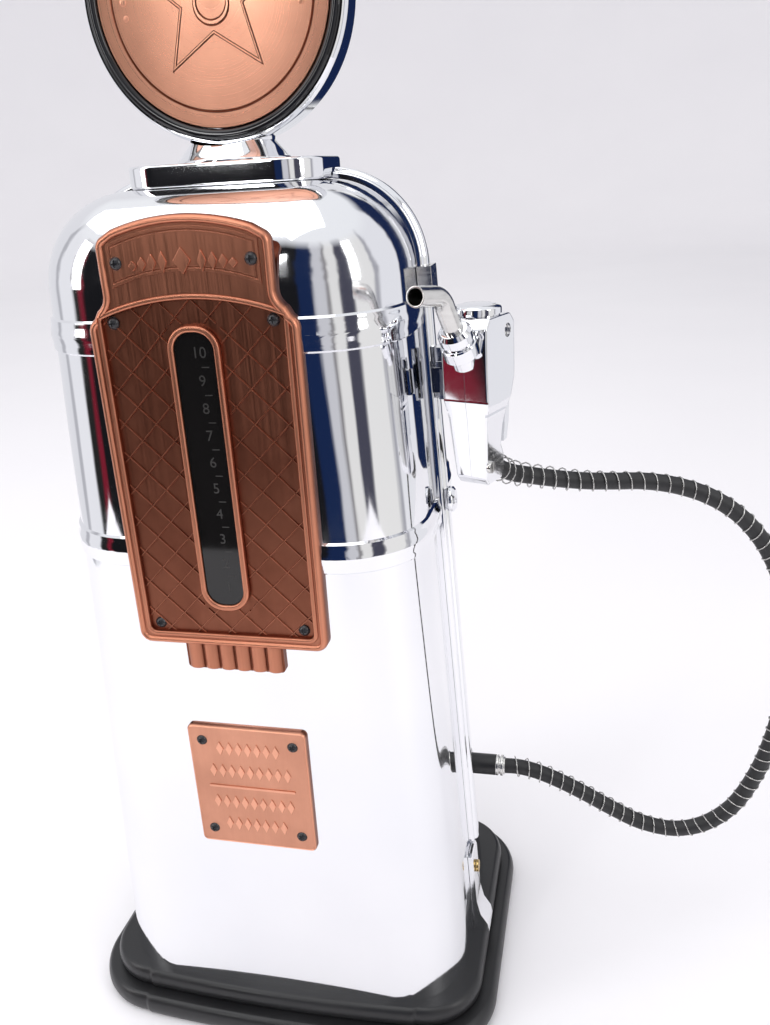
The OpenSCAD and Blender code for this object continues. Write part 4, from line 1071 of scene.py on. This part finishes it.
def arch_radius(half, rise):
    """Radius of a shallow arch, from half its width and its rise."""
    return (half * half + rise * rise) / 2 / rise


def crown(half, top_z, rise, start, end, count):
    """Arched line from x = start to x = end, whose highest point is at top_z."""
    radius = arch_radius(half, rise)
    places = [start + (end - start) * i / count for i in range(count + 1)]
    return [(x, top_z - radius + math.sqrt(radius * radius - x * x)) for x in places]


def mirrored(right_half):
    """Closes an outline from its right half, which runs from below to above."""
    return right_half + [(-x, z) for x, z in reversed(right_half) if x > 1e-6]


def bezel_outline():
    corner = arc((BEZEL_HALF - BEZEL_CORNER_R, BEZEL_LOW + BEZEL_CORNER_R), BEZEL_CORNER_R, -90, 0, 8)
    shoulder = arc((BEZEL_HALF - SHOULDER_R, SHOULDER_Z), SHOULDER_R, 0, 58, 8)
    hollow = arc((HEAD_HALF + HOLLOW_R, HOLLOW_END_Z), HOLLOW_R, 238, 180, 8)
    head = arc((HEAD_HALF - HEAD_CORNER_R, HEAD_CORNER_Z), HEAD_CORNER_R, 0, 66, 6)
    top_line = crown(HEAD_HALF, HEAD_TOP, HEAD_RISE, HEAD_END, 0, 14)
    return mirrored(corner + shoulder + hollow + head + top_line)


PANEL_HALF, PANEL_LOW, PANEL_TOP = 32.0 * MM, 187.0 * MM, 307.2 * MM
PANEL_RISE, PANEL_CORNER_R = 6 * MM, 3 * MM


def panel_outline(grow=0.0):
    """Opening in the bezel with an arched top, grown or shrunk evenly."""
    corner_at = (PANEL_HALF - PANEL_CORNER_R, PANEL_LOW + PANEL_CORNER_R)
    corner = arc(corner_at, PANEL_CORNER_R + grow, -90, 0, 6)
    radius = arch_radius(PANEL_HALF, PANEL_RISE) + grow
    centre_z = PANEL_TOP + grow - radius
    places = [(PANEL_HALF + grow) * (1 - i / 16) for i in range(17)]
    arch = [(x, centre_z + math.sqrt(radius * radius - x * x)) for x in places]
    return mirrored(corner + arch)


# %% Bezel
def inset_front(piece, y, thickness, depth):
    """Insets the face that lies at y and faces the front, and moves it by depth along its normal."""
    edit(piece)
    choose(piece, "FACE", lambda f: f.normal.y < -0.99 and abs(f.calc_center_median().y - y) < 0.02 * MM)
    bpy.ops.mesh.inset(thickness=thickness, depth=depth, use_boundary=True)
    leave()
    return y - depth


BEZEL_T, LIP_GROW, LIP_T = 1.7 * MM, 0.9 * MM, 3.0 * MM
# insets of the rolled rim: mm in, mm out
BEZEL_ROLL = ((0.35, 0.85), (0.55, 0.65), (0.70, 0.30), (0.75, 0.0), (0.60, -0.30), (0.45, -0.75))
bezel = outline_piece(bezel_outline(), BEZEL_T, FRONT_Y)
level_y = FRONT_Y - BEZEL_T
for thickness, depth in BEZEL_ROLL:
    level_y = inset_front(bezel, level_y, thickness * MM, depth * MM)
print("bezel field stands out in mm:", round((FRONT_Y - level_y) / MM, 2))
cut(bezel, outline_piece(panel_outline(), 12 * MM, FRONT_Y + 3 * MM))

# bright lip round the opening
lip = outline_piece(panel_outline(LIP_GROW), LIP_T, FRONT_Y)
cut(lip, outline_piece(panel_outline(-LIP_GROW), 12 * MM, FRONT_Y + 3 * MM))
ease(lip, 0.7 * MM, 4, 50)

# fluted tab
TAB_HALF, TAB_H, TAB_T, TAB_R, FLUTES = 18.75 * MM, 10 * MM, 1.5 * MM, 1.4 * MM, 6
tab_corner_z = BEZEL_LOW - TAB_H + TAB_R
tab_line = [(TAB_HALF, BEZEL_LOW + 2 * MM), (TAB_HALF, tab_corner_z)]
tab_line += arc((TAB_HALF - TAB_R, tab_corner_z), TAB_R, 0, -90, 5)
flutes = [outline_piece(tab_line + [(-x, z) for x, z in reversed(tab_line)], TAB_T, FRONT_Y)]
FLUTE_FLAT = 0.62         # depth of a flute as a share of its width
flute_w = (2 * TAB_HALF - 1.2 * MM) / FLUTES
for i in range(FLUTES):
    bpy.ops.mesh.primitive_cylinder_add(vertices=32, radius=flute_w / 2, depth=TAB_H + 0.8 * MM)
    flute = bpy.context.object
    ease(flute, 0.5 * MM)
    middle = ((i - (FLUTES - 1) / 2) * flute_w, FRONT_Y - 1.0 * MM, BEZEL_LOW - TAB_H / 2 + 0.6 * MM)
    flutes.append(place(flute, Matrix.Translation(middle) @ Matrix.Diagonal((1, FLUTE_FLAT, 1, 1))))
bezel = joined([bezel, lip, *flutes])
set_relief(bezel, FRONT_Y - 1.2 * MM, FRONT_Y - 3.2 * MM)
finish(bezel, "copper_bezel", "root", "copper", COPPER, "bezel", angle=50)

# %% [markdown]
# The quilted panel is a thin sheet with raised lines at 45 degrees. One bar is modelled with a roof-like
# section and copied along every line. Each line is clipped where it leaves the panel or meets the sight
# window.

# %% Quilted panel
WINDOW_HALF, WINDOW_HALF_H = 6.8 * MM, 48 * MM
QUILT = 11.7 * MM         # distance between neighbouring lines, measured upwards
PANEL_T, RIM_W = 1.2 * MM, 2.2 * MM
BAR_W, BAR_T, BAR_NARROW = 0.85 * MM, 0.9 * MM, 0.30      # foot, height, and top as a share of the foot


def window_outline(grow=0.0):
    half, half_h = WINDOW_HALF + grow, WINDOW_HALF_H + grow
    return [(x, z + WINDOW_Z) for x, z in rounded_box(2 * half, 2 * half_h, half - 1.0 * MM, 14)]


def on_quilt(x, z):
    """Whether a point lies on the panel, clear of its edge and of the rim of the window."""
    clear, radius = 0.8 * MM, arch_radius(PANEL_HALF, PANEL_RISE)
    below_arch = z < PANEL_TOP - radius + math.sqrt(radius * radius - x * x) - clear
    rim = RIM_W + 0.2 * MM
    beside = abs(x) > WINDOW_HALF + rim or abs(z - WINDOW_Z) > WINDOW_HALF_H + rim
    return below_arch and beside and abs(x) < PANEL_HALF - clear and z > PANEL_LOW + clear


def quilt_runs(slope, offset):
    """Ends of the stretches of one line that lie on the panel, found by walking along it."""
    step = 0.25 * MM
    runs, start = [], None
    for i in range(int(2 * PANEL_HALF / step) + 2):
        x = -PANEL_HALF + i * step
        z = WINDOW_Z + offset + slope * x
        if abs(x) < PANEL_HALF and on_quilt(x, z):
            start = start or (x, z)
            last = (x, z)
        elif start:
            runs.append((start, last))
            start = None
    return runs


def quilt_bar(length, middle, slope):
    """A bar with a roof-like section, its foot half sunk in the panel."""
    bpy.ops.mesh.primitive_cube_add(size=1)
    bar = bpy.context.object
    for vertex in bar.data.vertices:
        narrow = BAR_NARROW if vertex.co.y < 0 else 1.0
        vertex.co = (vertex.co.x * length, vertex.co.y * BAR_T, vertex.co.z * BAR_W * narrow)
    return place(bar, Matrix.Translation(middle) @ Matrix.Rotation(-slope, 4, "Y"))


panel = outline_piece(panel_outline(-0.1 * MM), PANEL_T, FRONT_Y)
cut(panel, outline_piece(window_outline(0.1 * MM), 8 * MM, FRONT_Y + 3 * MM))
bars = []
for slope in (-1, 1):
    for i in range(-9, 10):
        for (x0, z0), (x1, z1) in quilt_runs(slope, i * QUILT):
            length = math.hypot(x1 - x0, z1 - z0)
            if length > MM:
                bars.append(quilt_bar(length, ((x0 + x1) / 2, FRONT_Y - PANEL_T, (z0 + z1) / 2),
                                      math.atan2(z1 - z0, x1 - x0)))
print("quilt bars:", len(bars))
panel = joined([panel, *bars])
set_relief(panel, FRONT_Y - 0.9 * MM, FRONT_Y - 2.2 * MM)
finish(panel, "copper_quilted_panel", "root", "copper", COPPER, "lattice_panel", angle=30, weighted=False)

# %% Rim of the sight window
RIM_T = 2.4 * MM
rim = outline_piece(window_outline(RIM_W), RIM_T, FRONT_Y - PANEL_T)
cut(rim, outline_piece(window_outline(0.1 * MM), 12 * MM, FRONT_Y + 3 * MM))
ease(rim, 0.75 * MM, 4, 50)
set_relief(rim, FRONT_Y - 0.6 * MM, FRONT_Y - 3.0 * MM)
finish(rim, "copper_window_rim", "root", "copper", COPPER, "window_rim", angle=50)

# %% [markdown]
# The window carries a level scale: the numbers from 10 down to 1 with a tick between neighbours. Each is a
# text object made a mesh, and laid on the window.

# %% Level scale
LENS_FRONT_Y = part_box("window_lens")[0][1]
SCALE_STEP, NUMERAL_H, INK_T = 9.2 * MM, 5.2 * MM, 0.03 * MM
NUMERAL_X, TICK_X, TICK_W, TICK_H = 1.6 * MM, 3.2 * MM, 2.6 * MM, 0.35 * MM


def numeral(text, z):
    bpy.ops.object.text_add()
    piece = bpy.context.object
    piece.data.body = text
    piece.data.align_x, piece.data.align_y = "CENTER", "CENTER"
    piece.data.size = NUMERAL_H
    piece.data.extrude = INK_T
    piece.data.resolution_u = 3
    bpy.ops.object.convert(target="MESH")
    piece = bpy.context.object
    upright = Matrix.Rotation(math.pi / 2, 4, "X")
    return place(piece, Matrix.Translation((NUMERAL_X, LENS_FRONT_Y - INK_T, z)) @ upright)


marks = []
for i in range(10):
    z = WINDOW_Z + (4.5 - i) * SCALE_STEP
    marks.append(numeral(str(10 - i), z))
    if i < 9:
        bpy.ops.mesh.primitive_cube_add(size=1)
        middle = (TICK_X, LENS_FRONT_Y - INK_T, z - SCALE_STEP / 2)
        marks.append(place(bpy.context.object, Matrix.Translation(middle)
                           @ Matrix.Diagonal((TICK_W, 2 * INK_T, TICK_H, 1))))
scale = joined(marks)
outward(scale)
finish(scale, "level_numbers", "root", "scale_white", SCALE_INK, "level_scale", weighted=False)

# %% [markdown]
# The name-plate and the lower plaque are where a maker puts lettering. Both have a plain ornament of raised
# lozenges and bars in its place.

# %% Ornaments
def lozenge(x, z, half_w, half_h, y, height):
    """A raised lozenge with a bevelled edge."""
    corners = [(x + half_w, z), (x, z + half_h), (x - half_w, z), (x, z - half_h)]
    piece = outline_piece(corners, height, y)
    ease(piece, height * 0.5, angle=60)
    return piece


def bar_piece(z, half_w, half_h, y, height):
    """A raised bar with round ends, on the middle line."""
    outline = rounded_box(2 * half_w, 2 * half_h, half_h * 0.9, 4)
    piece = outline_piece([(px, z + pz) for px, pz in outline], height, y)
    ease(piece, height * 0.4, angle=60)
    return piece


# %% Name-plate
PLATE_HALF, PLATE_TOP, PLATE_LOW, PLATE_RISE = 25.85 * MM, 329.2 * MM, 309.5 * MM, 5 * MM
NAME_T, NAME_MIDDLE_Z, ORNAMENT_SINK = 0.55 * MM, 318 * MM, 0.05 * MM
SIDE_LOZENGES = ((6.6, 3.4), (10.2, 2.8), (13.6, 2.2), (16.8, 1.6))    # mm from the middle, mm half height


def banner(grow):
    """Banner with an arched top and an arched bottom."""
    radius = arch_radius(PLATE_HALF, PLATE_RISE)
    half = PLATE_HALF + grow
    above, below = [], []
    for i in range(17):
        x = half * (1 - i / 8)
        above.append((x, PLATE_TOP - radius + math.sqrt((radius + grow) ** 2 - x * x)))
        below.append((-x, PLATE_LOW + PLATE_RISE - radius + math.sqrt((radius - grow) ** 2 - x * x)))
    return above + below


plate_y = level_y + 0.15 * MM
name_plate = outline_piece(banner(-0.6 * MM), NAME_T, plate_y)
cut(name_plate, band(banner(-1.5 * MM), banner(-2.1 * MM), 2 * MM, plate_y - 0.3 * MM))
ease(name_plate, 0.16 * MM, angle=50)
PLATE_FACE_Y = plate_y - NAME_T
foot_y = PLATE_FACE_Y + ORNAMENT_SINK
ornament = [lozenge(0, NAME_MIDDLE_Z + 0.2 * MM, 3.0 * MM, 4.2 * MM, foot_y, 0.5 * MM)]
for side_of in (-1, 1):
    for i, (x, half_h) in enumerate(SIDE_LOZENGES):
        z = NAME_MIDDLE_Z - 0.10 * i * i * MM
        ornament.append(lozenge(side_of * x * MM, z, 1.5 * MM, half_h * MM, foot_y, 0.45 * MM))
name_plate = joined([name_plate, *ornament])
set_relief(name_plate, plate_y + 0.1 * MM, PLATE_FACE_Y - 0.25 * MM)
finish(name_plate, "copper_name_plate", "root", "copper", COPPER, "name_plate", angle=35)

# %% Lower plaque
PLAQUE_Z, PLAQUE_W, PLAQUE_H, PLAQUE_R, PLAQUE_T = 120.5 * MM, 47.5 * MM, 54 * MM, 2.2 * MM, 1.2 * MM
PLAQUE_ROLL = ((0.25, 0.45), (0.30, 0.30), (0.7, 0.0), (0.3, -0.35))     # mm in, mm out
ROWS, ROW_STEP = ((17.4, 7), (7.2, 9), (-7.2, 9), (-17.4, 7)), 3.75 * MM   # mm up from the middle, how many
outline = [(x, z + PLAQUE_Z) for x, z in rounded_box(PLAQUE_W, PLAQUE_H, PLAQUE_R, 6)]
plaque = outline_piece(outline, PLAQUE_T, FRONT_Y)
face_y = FRONT_Y - PLAQUE_T
for thickness, depth in PLAQUE_ROLL:
    face_y = inset_front(plaque, face_y, thickness * MM, depth * MM)
foot_y = face_y + ORNAMENT_SINK
raised = [bar_piece(PLAQUE_Z, 17.6 * MM, 0.55 * MM, foot_y, 0.45 * MM)]
for row_z, count in ROWS:
    for i in range(count):
        x = (i - (count - 1) / 2) * ROW_STEP
        raised.append(lozenge(x, PLAQUE_Z + row_z * MM, 1.45 * MM, 3.1 * MM, foot_y, 0.42 * MM))
plaque = joined([plaque, *raised])
set_relief(plaque, face_y + 0.75 * MM, face_y - 0.30 * MM)
finish(plaque, "copper_lower_plaque", "root", "copper", PLAQUE_COPPER, "lower_plaque", angle=35)

# %% [markdown]
# The small black screws have a low domed head with a cross recess. One head and shank is spun and cut once,
# and copied to each place.

# %% Trim screws
def dome_screw(length):
    """Axis along Y, with its head towards -Y and the underside of the head at y = 0."""
    head = arc((0, -0.9 * MM), 2.25 * MM, 66, 24, 6)
    piece = turned([(0.03 * MM, 1.42 * MM), *head, (2.1 * MM, 0.0), (1.0 * MM, 0.0), (1.0 * MM, -length),
                    (0.03 * MM, -length)], 40)
    fill_open(piece)
    for turn in (0, math.pi / 2):
        bpy.ops.mesh.primitive_cube_add(size=1)
        slot = Matrix.Translation((0, 0, 1.4 * MM)) @ Matrix.Diagonal((2.2 * MM, 0.42 * MM, 1.1 * MM, 1))
        cut(piece, place(bpy.context.object, Matrix.Rotation(turn, 4, "Z") @ slot))
    return place(piece, Matrix.Rotation(math.radians(90), 4, "X"))


def screw_set(name, node, places):
    model = dome_screw(4 * MM)
    pieces = []
    for x, y, z in places:
        copy = bpy.data.objects.new(name, model.data.copy())
        bpy.context.scene.collection.objects.link(copy)
        pieces.append(place(copy, Matrix.Translation((x, y, z))))
    bpy.data.objects.remove(model)
    finish(joined(pieces), name, "root", "black_screw", BLACK_SCREW, node, angle=35)


screw_set("black_trim_screws", "trim_screws",
          [(s * 27.4 * MM, FRONT_Y - PANEL_T - 0.3 * MM, z * MM) for s in (-1, 1) for z in (190.8, 299.3)]
          + [(s * 22.6 * MM, PLATE_FACE_Y, 318.0 * MM) for s in (-1, 1)])
screw_set("black_plaque_screws", "plaque_screws",
          [(s * 18.2 * MM, face_y, PLAQUE_Z + t * 20.5 * MM) for s in (-1, 1) for t in (-1, 1)])

# %% [markdown]
# ## Arch bead
#
# A bead runs up both sides and over the shoulders and covers the seam of the two shells. Its section is the
# same everywhere, so it is a stack of rings: each ring is the section, turned to stand square to the seam
# at that place, and neighbours are bridged. It is open in the middle of the top, where the plate of the lid
# lies.

# %% Bead along the seam
TRIM_FOOT_Z, PLATE_HALF_X = 62 * MM, 35.2 * MM
BEAD = ((-4.0, 0.06), (-4.0, 1.5), (-3.7, 2.05), (-3.1, 2.28), (-2.5, 2.3), (-2.2, 2.5), (-1.9, 3.1),
        (-1.3, 3.6), (-0.5, 3.8), (0.5, 3.8), (1.3, 3.6), (1.9, 3.1), (2.2, 2.5), (2.5, 2.3),
        (3.1, 2.28), (3.7, 2.05), (4.0, 1.5), (4.0, 0.06))     # mm across the seam, mm out from it


def seam_line():
    """Points on the right half of the seam and the outward direction at each, from the foot to the plate."""
    lean = math.atan(TAPER)
    centre_z = BODY_TOP - CORNER_R
    centre_x = half_width(centre_z) - CORNER_R
    line = []
    for i in range(13):
        z = TRIM_FOOT_Z + (centre_z + CORNER_R * math.sin(lean) - TRIM_FOOT_Z) * i / 12
        line.append(((half_width(z), z), (math.cos(lean), math.sin(lean))))
    for i in range(1, 21):
        angle = lean + (math.pi / 2 - lean) * i / 20
        out = (math.cos(angle), math.sin(angle))
        line.append(((centre_x + CORNER_R * out[0], centre_z + CORNER_R * out[1]), out))
    return [step for step in line if step[0][0] > PLATE_HALF_X] + [
        ((PLATE_HALF_X, centre_z + math.sqrt(CORNER_R ** 2 - (PLATE_HALF_X - centre_x) ** 2)),
         (math.cos(math.radians(84)), math.sin(math.radians(84))))]


def bead(side_of):
    rings = [loop_of([(side_of * (x + out * MM * out_x), SEAM_Y + across * MM, z + out * MM * out_z)
                      for across, out in BEAD]) for (x, z), (out_x, out_z) in seam_line()]
    piece = joined(rings)
    edit(piece)
    bpy.ops.mesh.bridge_edge_loops()
    leave()
    fill_open(piece, lambda e: max(v.co.z for v in e.verts) < TRIM_FOOT_Z + 3 * MM)
    fill_open(piece)
    outward(piece)
    return piece


arch = joined([bead(-1), bead(1)])
finish(arch, "chrome_arch_bead", "root", "chrome", CHROME, "arch_trim", angle=50)

# %% [markdown]
# ## Nozzle
#
# The nozzle is a small die-cast pistol in two halves. Its side view and its front view are two outlines; a
# slab of each is cut and the two are intersected, which gives the wedge shapes of the real body. Edges are
# rounded, the slot for the trigger and the seats are cut, and then it is split down the middle, with a
# small round along the split so that the seam shows.

# %% Frame of the nozzle
NOZZLE_AT = Vector((86.5, -29, 277)) * MM
NOZZLE = Matrix.Translation(NOZZLE_AT) @ Matrix.Rotation(math.radians(-20), 4, "Z")
COLLAR = Matrix.Translation((0, -9.3 * MM, 4.4 * MM)) @ Matrix.Rotation(math.radians(32), 4, "X")
NOZZLE_HALF, HEAD_H = 8.5 * MM, 17.5 * MM
# outlines in mm, seen from the side as (y, z) and from the front as (x, z)
SIDE_VIEW = ((-10, 1.5), (-10, 14.5), (-7, 17.5), (8, 17.5), (11, 14.5), (11, 0), (11, -4), (7, -13.5),
             (4.5, -20), (4, -27), (6.5, -31), (7.5, -36), (6, -40), (-4, -40), (-6.5, -37),
             (-8.5, -16), (-9.5, -10))
FRONT_VIEW = ((-8.5, 18.5), (8.5, 18.5), (8.5, -10), (7.3, -16), (5.6, -41), (-5.6, -41), (-7.3, -16),
              (-8.5, -10))


def block(low, high):
    """A box cutter between two corners in millimetres."""
    bpy.ops.mesh.primitive_cube_add(size=1)
    middle = Vector([(a + b) / 2 for a, b in zip(low, high)]) * MM
    size = [(b - a) * MM for a, b in zip(low, high)]
    return place(bpy.context.object, Matrix.Translation(middle) @ Matrix.Diagonal((*size, 1)))


def rod(radius, low, high, matrix=Matrix.Identity(4), vertices=48):
    """A round cutter along Z between two heights in millimetres, placed by a matrix."""
    bpy.ops.mesh.primitive_cylinder_add(vertices=vertices, radius=radius * MM, depth=(high - low) * MM)
    return place(bpy.context.object, matrix @ Matrix.Translation((0, 0, (low + high) / 2 * MM)))


def nozzle_block():
    piece = outline_piece([(y * MM, z * MM) for y, z in SIDE_VIEW], 2 * NOZZLE_HALF, NOZZLE_HALF)
    place(piece, Matrix.Rotation(math.radians(90), 4, "Z"))
    cut(piece, outline_piece([(x * MM, z * MM) for x, z in FRONT_VIEW], 100 * MM, 50 * MM), "INTERSECT")
    outward(piece)
    ease(piece, 0.9 * MM, 3, 20)
    # slot for the trigger, seat of the spout nut, seat of the pin's head and way for the hose
    cut(piece, block((-3.8, 3.8, -30), (3.8, 24, -4)))
    cut(piece, rod(6.15, 2.4, 30, COLLAR))
    across = Matrix.Rotation(math.radians(90), 4, "Y")
    cut(piece, rod(2.3, 5.9, 12, Matrix.Translation((0, 5.5 * MM, 12 * MM)) @ across))
    hose_exit = Matrix.Translation((0, 6.3 * MM, -34.6 * MM)) @ Matrix.Rotation(math.radians(-122), 4, "X")
    cut(piece, rod(4.7, 0, 20, hose_exit))
    # a groove across each cheek, and one under the head in front
    for side_of in (-1, 1):
        cut(piece, block((side_of * 7.9 - 1, -9, -14.6), (side_of * 7.9 + 1, 14, -13.6)))
    cut(piece, block((-20, -12, -9.9), (20, -9.15, -9.2)))
    return piece


def half_of(piece, side_of):
    half = piece.copy()
    half.data = piece.data.copy()
    bpy.context.scene.collection.objects.link(half)
    edit(half)
    bpy.ops.mesh.bisect(plane_co=(0, 0, 0), plane_no=(1, 0, 0), use_fill=True, clear_outer=side_of < 0,
                        clear_inner=side_of > 0)
    choose(half, "EDGE", lambda e: all(abs(v.co.x) < 1e-6 for v in e.verts))
    bpy.ops.mesh.bevel(offset=0.22 * MM, segments=2, affect="EDGES", clamp_overlap=True)
    leave()
    return half


# %% Both halves of the nozzle
whole = nozzle_block()
left_half, right_half = half_of(whole, -1), half_of(whole, 1)
bpy.data.objects.remove(whole)
hook = block((-13, 3, -8), (-11, 9, 1.5))
ease(hook, 0.5 * MM)
neck = block((-12.5, 3, -1.5), (-8.3, 9, 1.5))
left_half = joined([left_half, hook, neck])
for half, label in ((left_half, "left"), (right_half, "right")):
    finish(place(half, NOZZLE), f"chrome_nozzle_{label}", "nozzle", "chrome", SMALL_CHROME, f"nozzle_{label}",
           angle=35)

# %% [markdown]
# The head ends in a round cap with a dark joint under it. The spout is a bent steel tube in a stepped nut.
# Nut and cap are spun; the tube follows a short route and gets its wall from a solidify modifier.

# %% Cap, nut and spout
CAP_LINE = ((0.05, 0.05), (7.4, 0.05), (7.4, 0.5), (8.0, 0.6), (8.0, 2.2), (7.8, 2.6), (7.0, 3.2), (5.4, 3.6),
            (3.0, 3.78), (0.05, 3.8))      # mm, radius and height, as is the next
NUT_LINE = ((2.65, -1.9), (4.0, -1.9), (4.0, 2.6), (5.6, 2.6), (6.0, 3.0), (6.0, 7.1), (5.6, 7.5),
            (4.9, 7.6), (4.9, 8.6), (5.3, 8.7), (5.6, 9.0), (5.6, 11.7), (5.3, 12.1), (4.6, 13.1),
            (4.2, 13.2), (3.25, 13.2), (3.25, 0.9), (2.65, 0.9))


def turned_mm(line):
    return turned([(radius * MM, height * MM) for radius, height in line], 64)


cap = turned_mm(CAP_LINE)
fill_open(cap)
place(cap, NOZZLE @ Matrix.Translation((0, 0.5 * MM, HEAD_H)))
finish(cap, "chrome_nozzle_cap", "nozzle", "chrome", SMALL_CHROME, "nozzle_cap", angle=35)

nut = turned_mm(NUT_LINE)
finish(place(nut, NOZZLE @ COLLAR), "chrome_spout_nut", "nozzle", "chrome", SMALL_CHROME, "spout_collar",
       angle=35)

SPOUT_R, SPOUT_WALL = 3.2 * MM, 0.6 * MM
SPOUT_RISE, BEND_R, BEND, REACH = 22.5 * MM, 8 * MM, math.radians(51), 11.4 * MM
spout_route = [Vector((0, 0, z * MM)) for z in (1, 8, 15, 20)]
bend_angles = [BEND * i / 14 for i in range(15)]
spout_route += [Vector((0, BEND_R * math.cos(a) - BEND_R, SPOUT_RISE + BEND_R * math.sin(a)))
                for a in bend_angles]
ahead = Vector((0, -math.sin(BEND), math.cos(BEND)))
spout_route += [spout_route[-1] + ahead * REACH * t for t in (0.5, 1.0)]
spout = sweep("spout_tube", spout_route, SPOUT_R, 36, capped=False)
modify(spout, "SOLIDIFY", thickness=SPOUT_WALL, offset=-1, use_even_offset=True)
ease(spout, 0.12 * MM, angle=60)
finish(place(spout, NOZZLE @ COLLAR), "steel_spout", "nozzle", "steel", STEEL, "spout", angle=50)

# %% [markdown]
# ## Small pieces
#
# The rest of the working pieces keep the frame's shape. Those that show get eased edges; those hidden
# inside only get their finish.

# %% Eased copies
EASED = (       # node, body, slot, finish, mm of easing
    ("trigger", "trigger", "chrome", SMALL_CHROME, 0.35),
    ("trim_ferrule", "root", "steel", STEEL, 0.25),
    ("side_bosses", "root", "chrome", SMALL_CHROME, 0.3),
    ("side_brackets", "root", "chrome", SMALL_CHROME, 0.5),
    ("bracket_screws", "root", "brass", BRASS, 0.15),
    ("nozzle_cradle", "root", "chrome", SMALL_CHROME, 0.35),
    ("cradle_screws", "root", "steel", STEEL, 0.15),
    ("side_port", "root", "black_plastic", SATIN_BLACK, 0.3),
    ("port_ferrule", "root", "steel", STEEL, 0.15),
    ("nozzle_ferrule", "nozzle", "steel", STEEL, 0.15),
    ("nozzle_screws", "nozzle", "steel", STEEL, 0.15),
    ("foot_pads", "root", "rubber", RUBBER, 0.2),
    ("cover_screws", "root", "steel", STEEL, 0.15))
for node, body, slot_name, material, edge in EASED:
    piece = eased_copy(node, edge * MM)
    finish(piece, node + "_eased", body, slot_name, material, node, angle=35)

# %% Finishes of the pieces that stay as they are
KEPT = {"tank": CLEAR, "tank_outlet": STEEL, "base_cover": SATIN_BLACK, "filler_plug": WHITE_PLASTIC,
        "filler_gasket": WHITE_PLASTIC, "window_lens": WINDOW, "trigger_pin": STEEL, "valve_stem": STEEL,
        "valve_seal": RUBBER, "valve_spring": STEEL}
for node, material in KEPT.items():
    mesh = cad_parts[node].data
    mesh.materials.clear()
    mesh.materials.append(material)
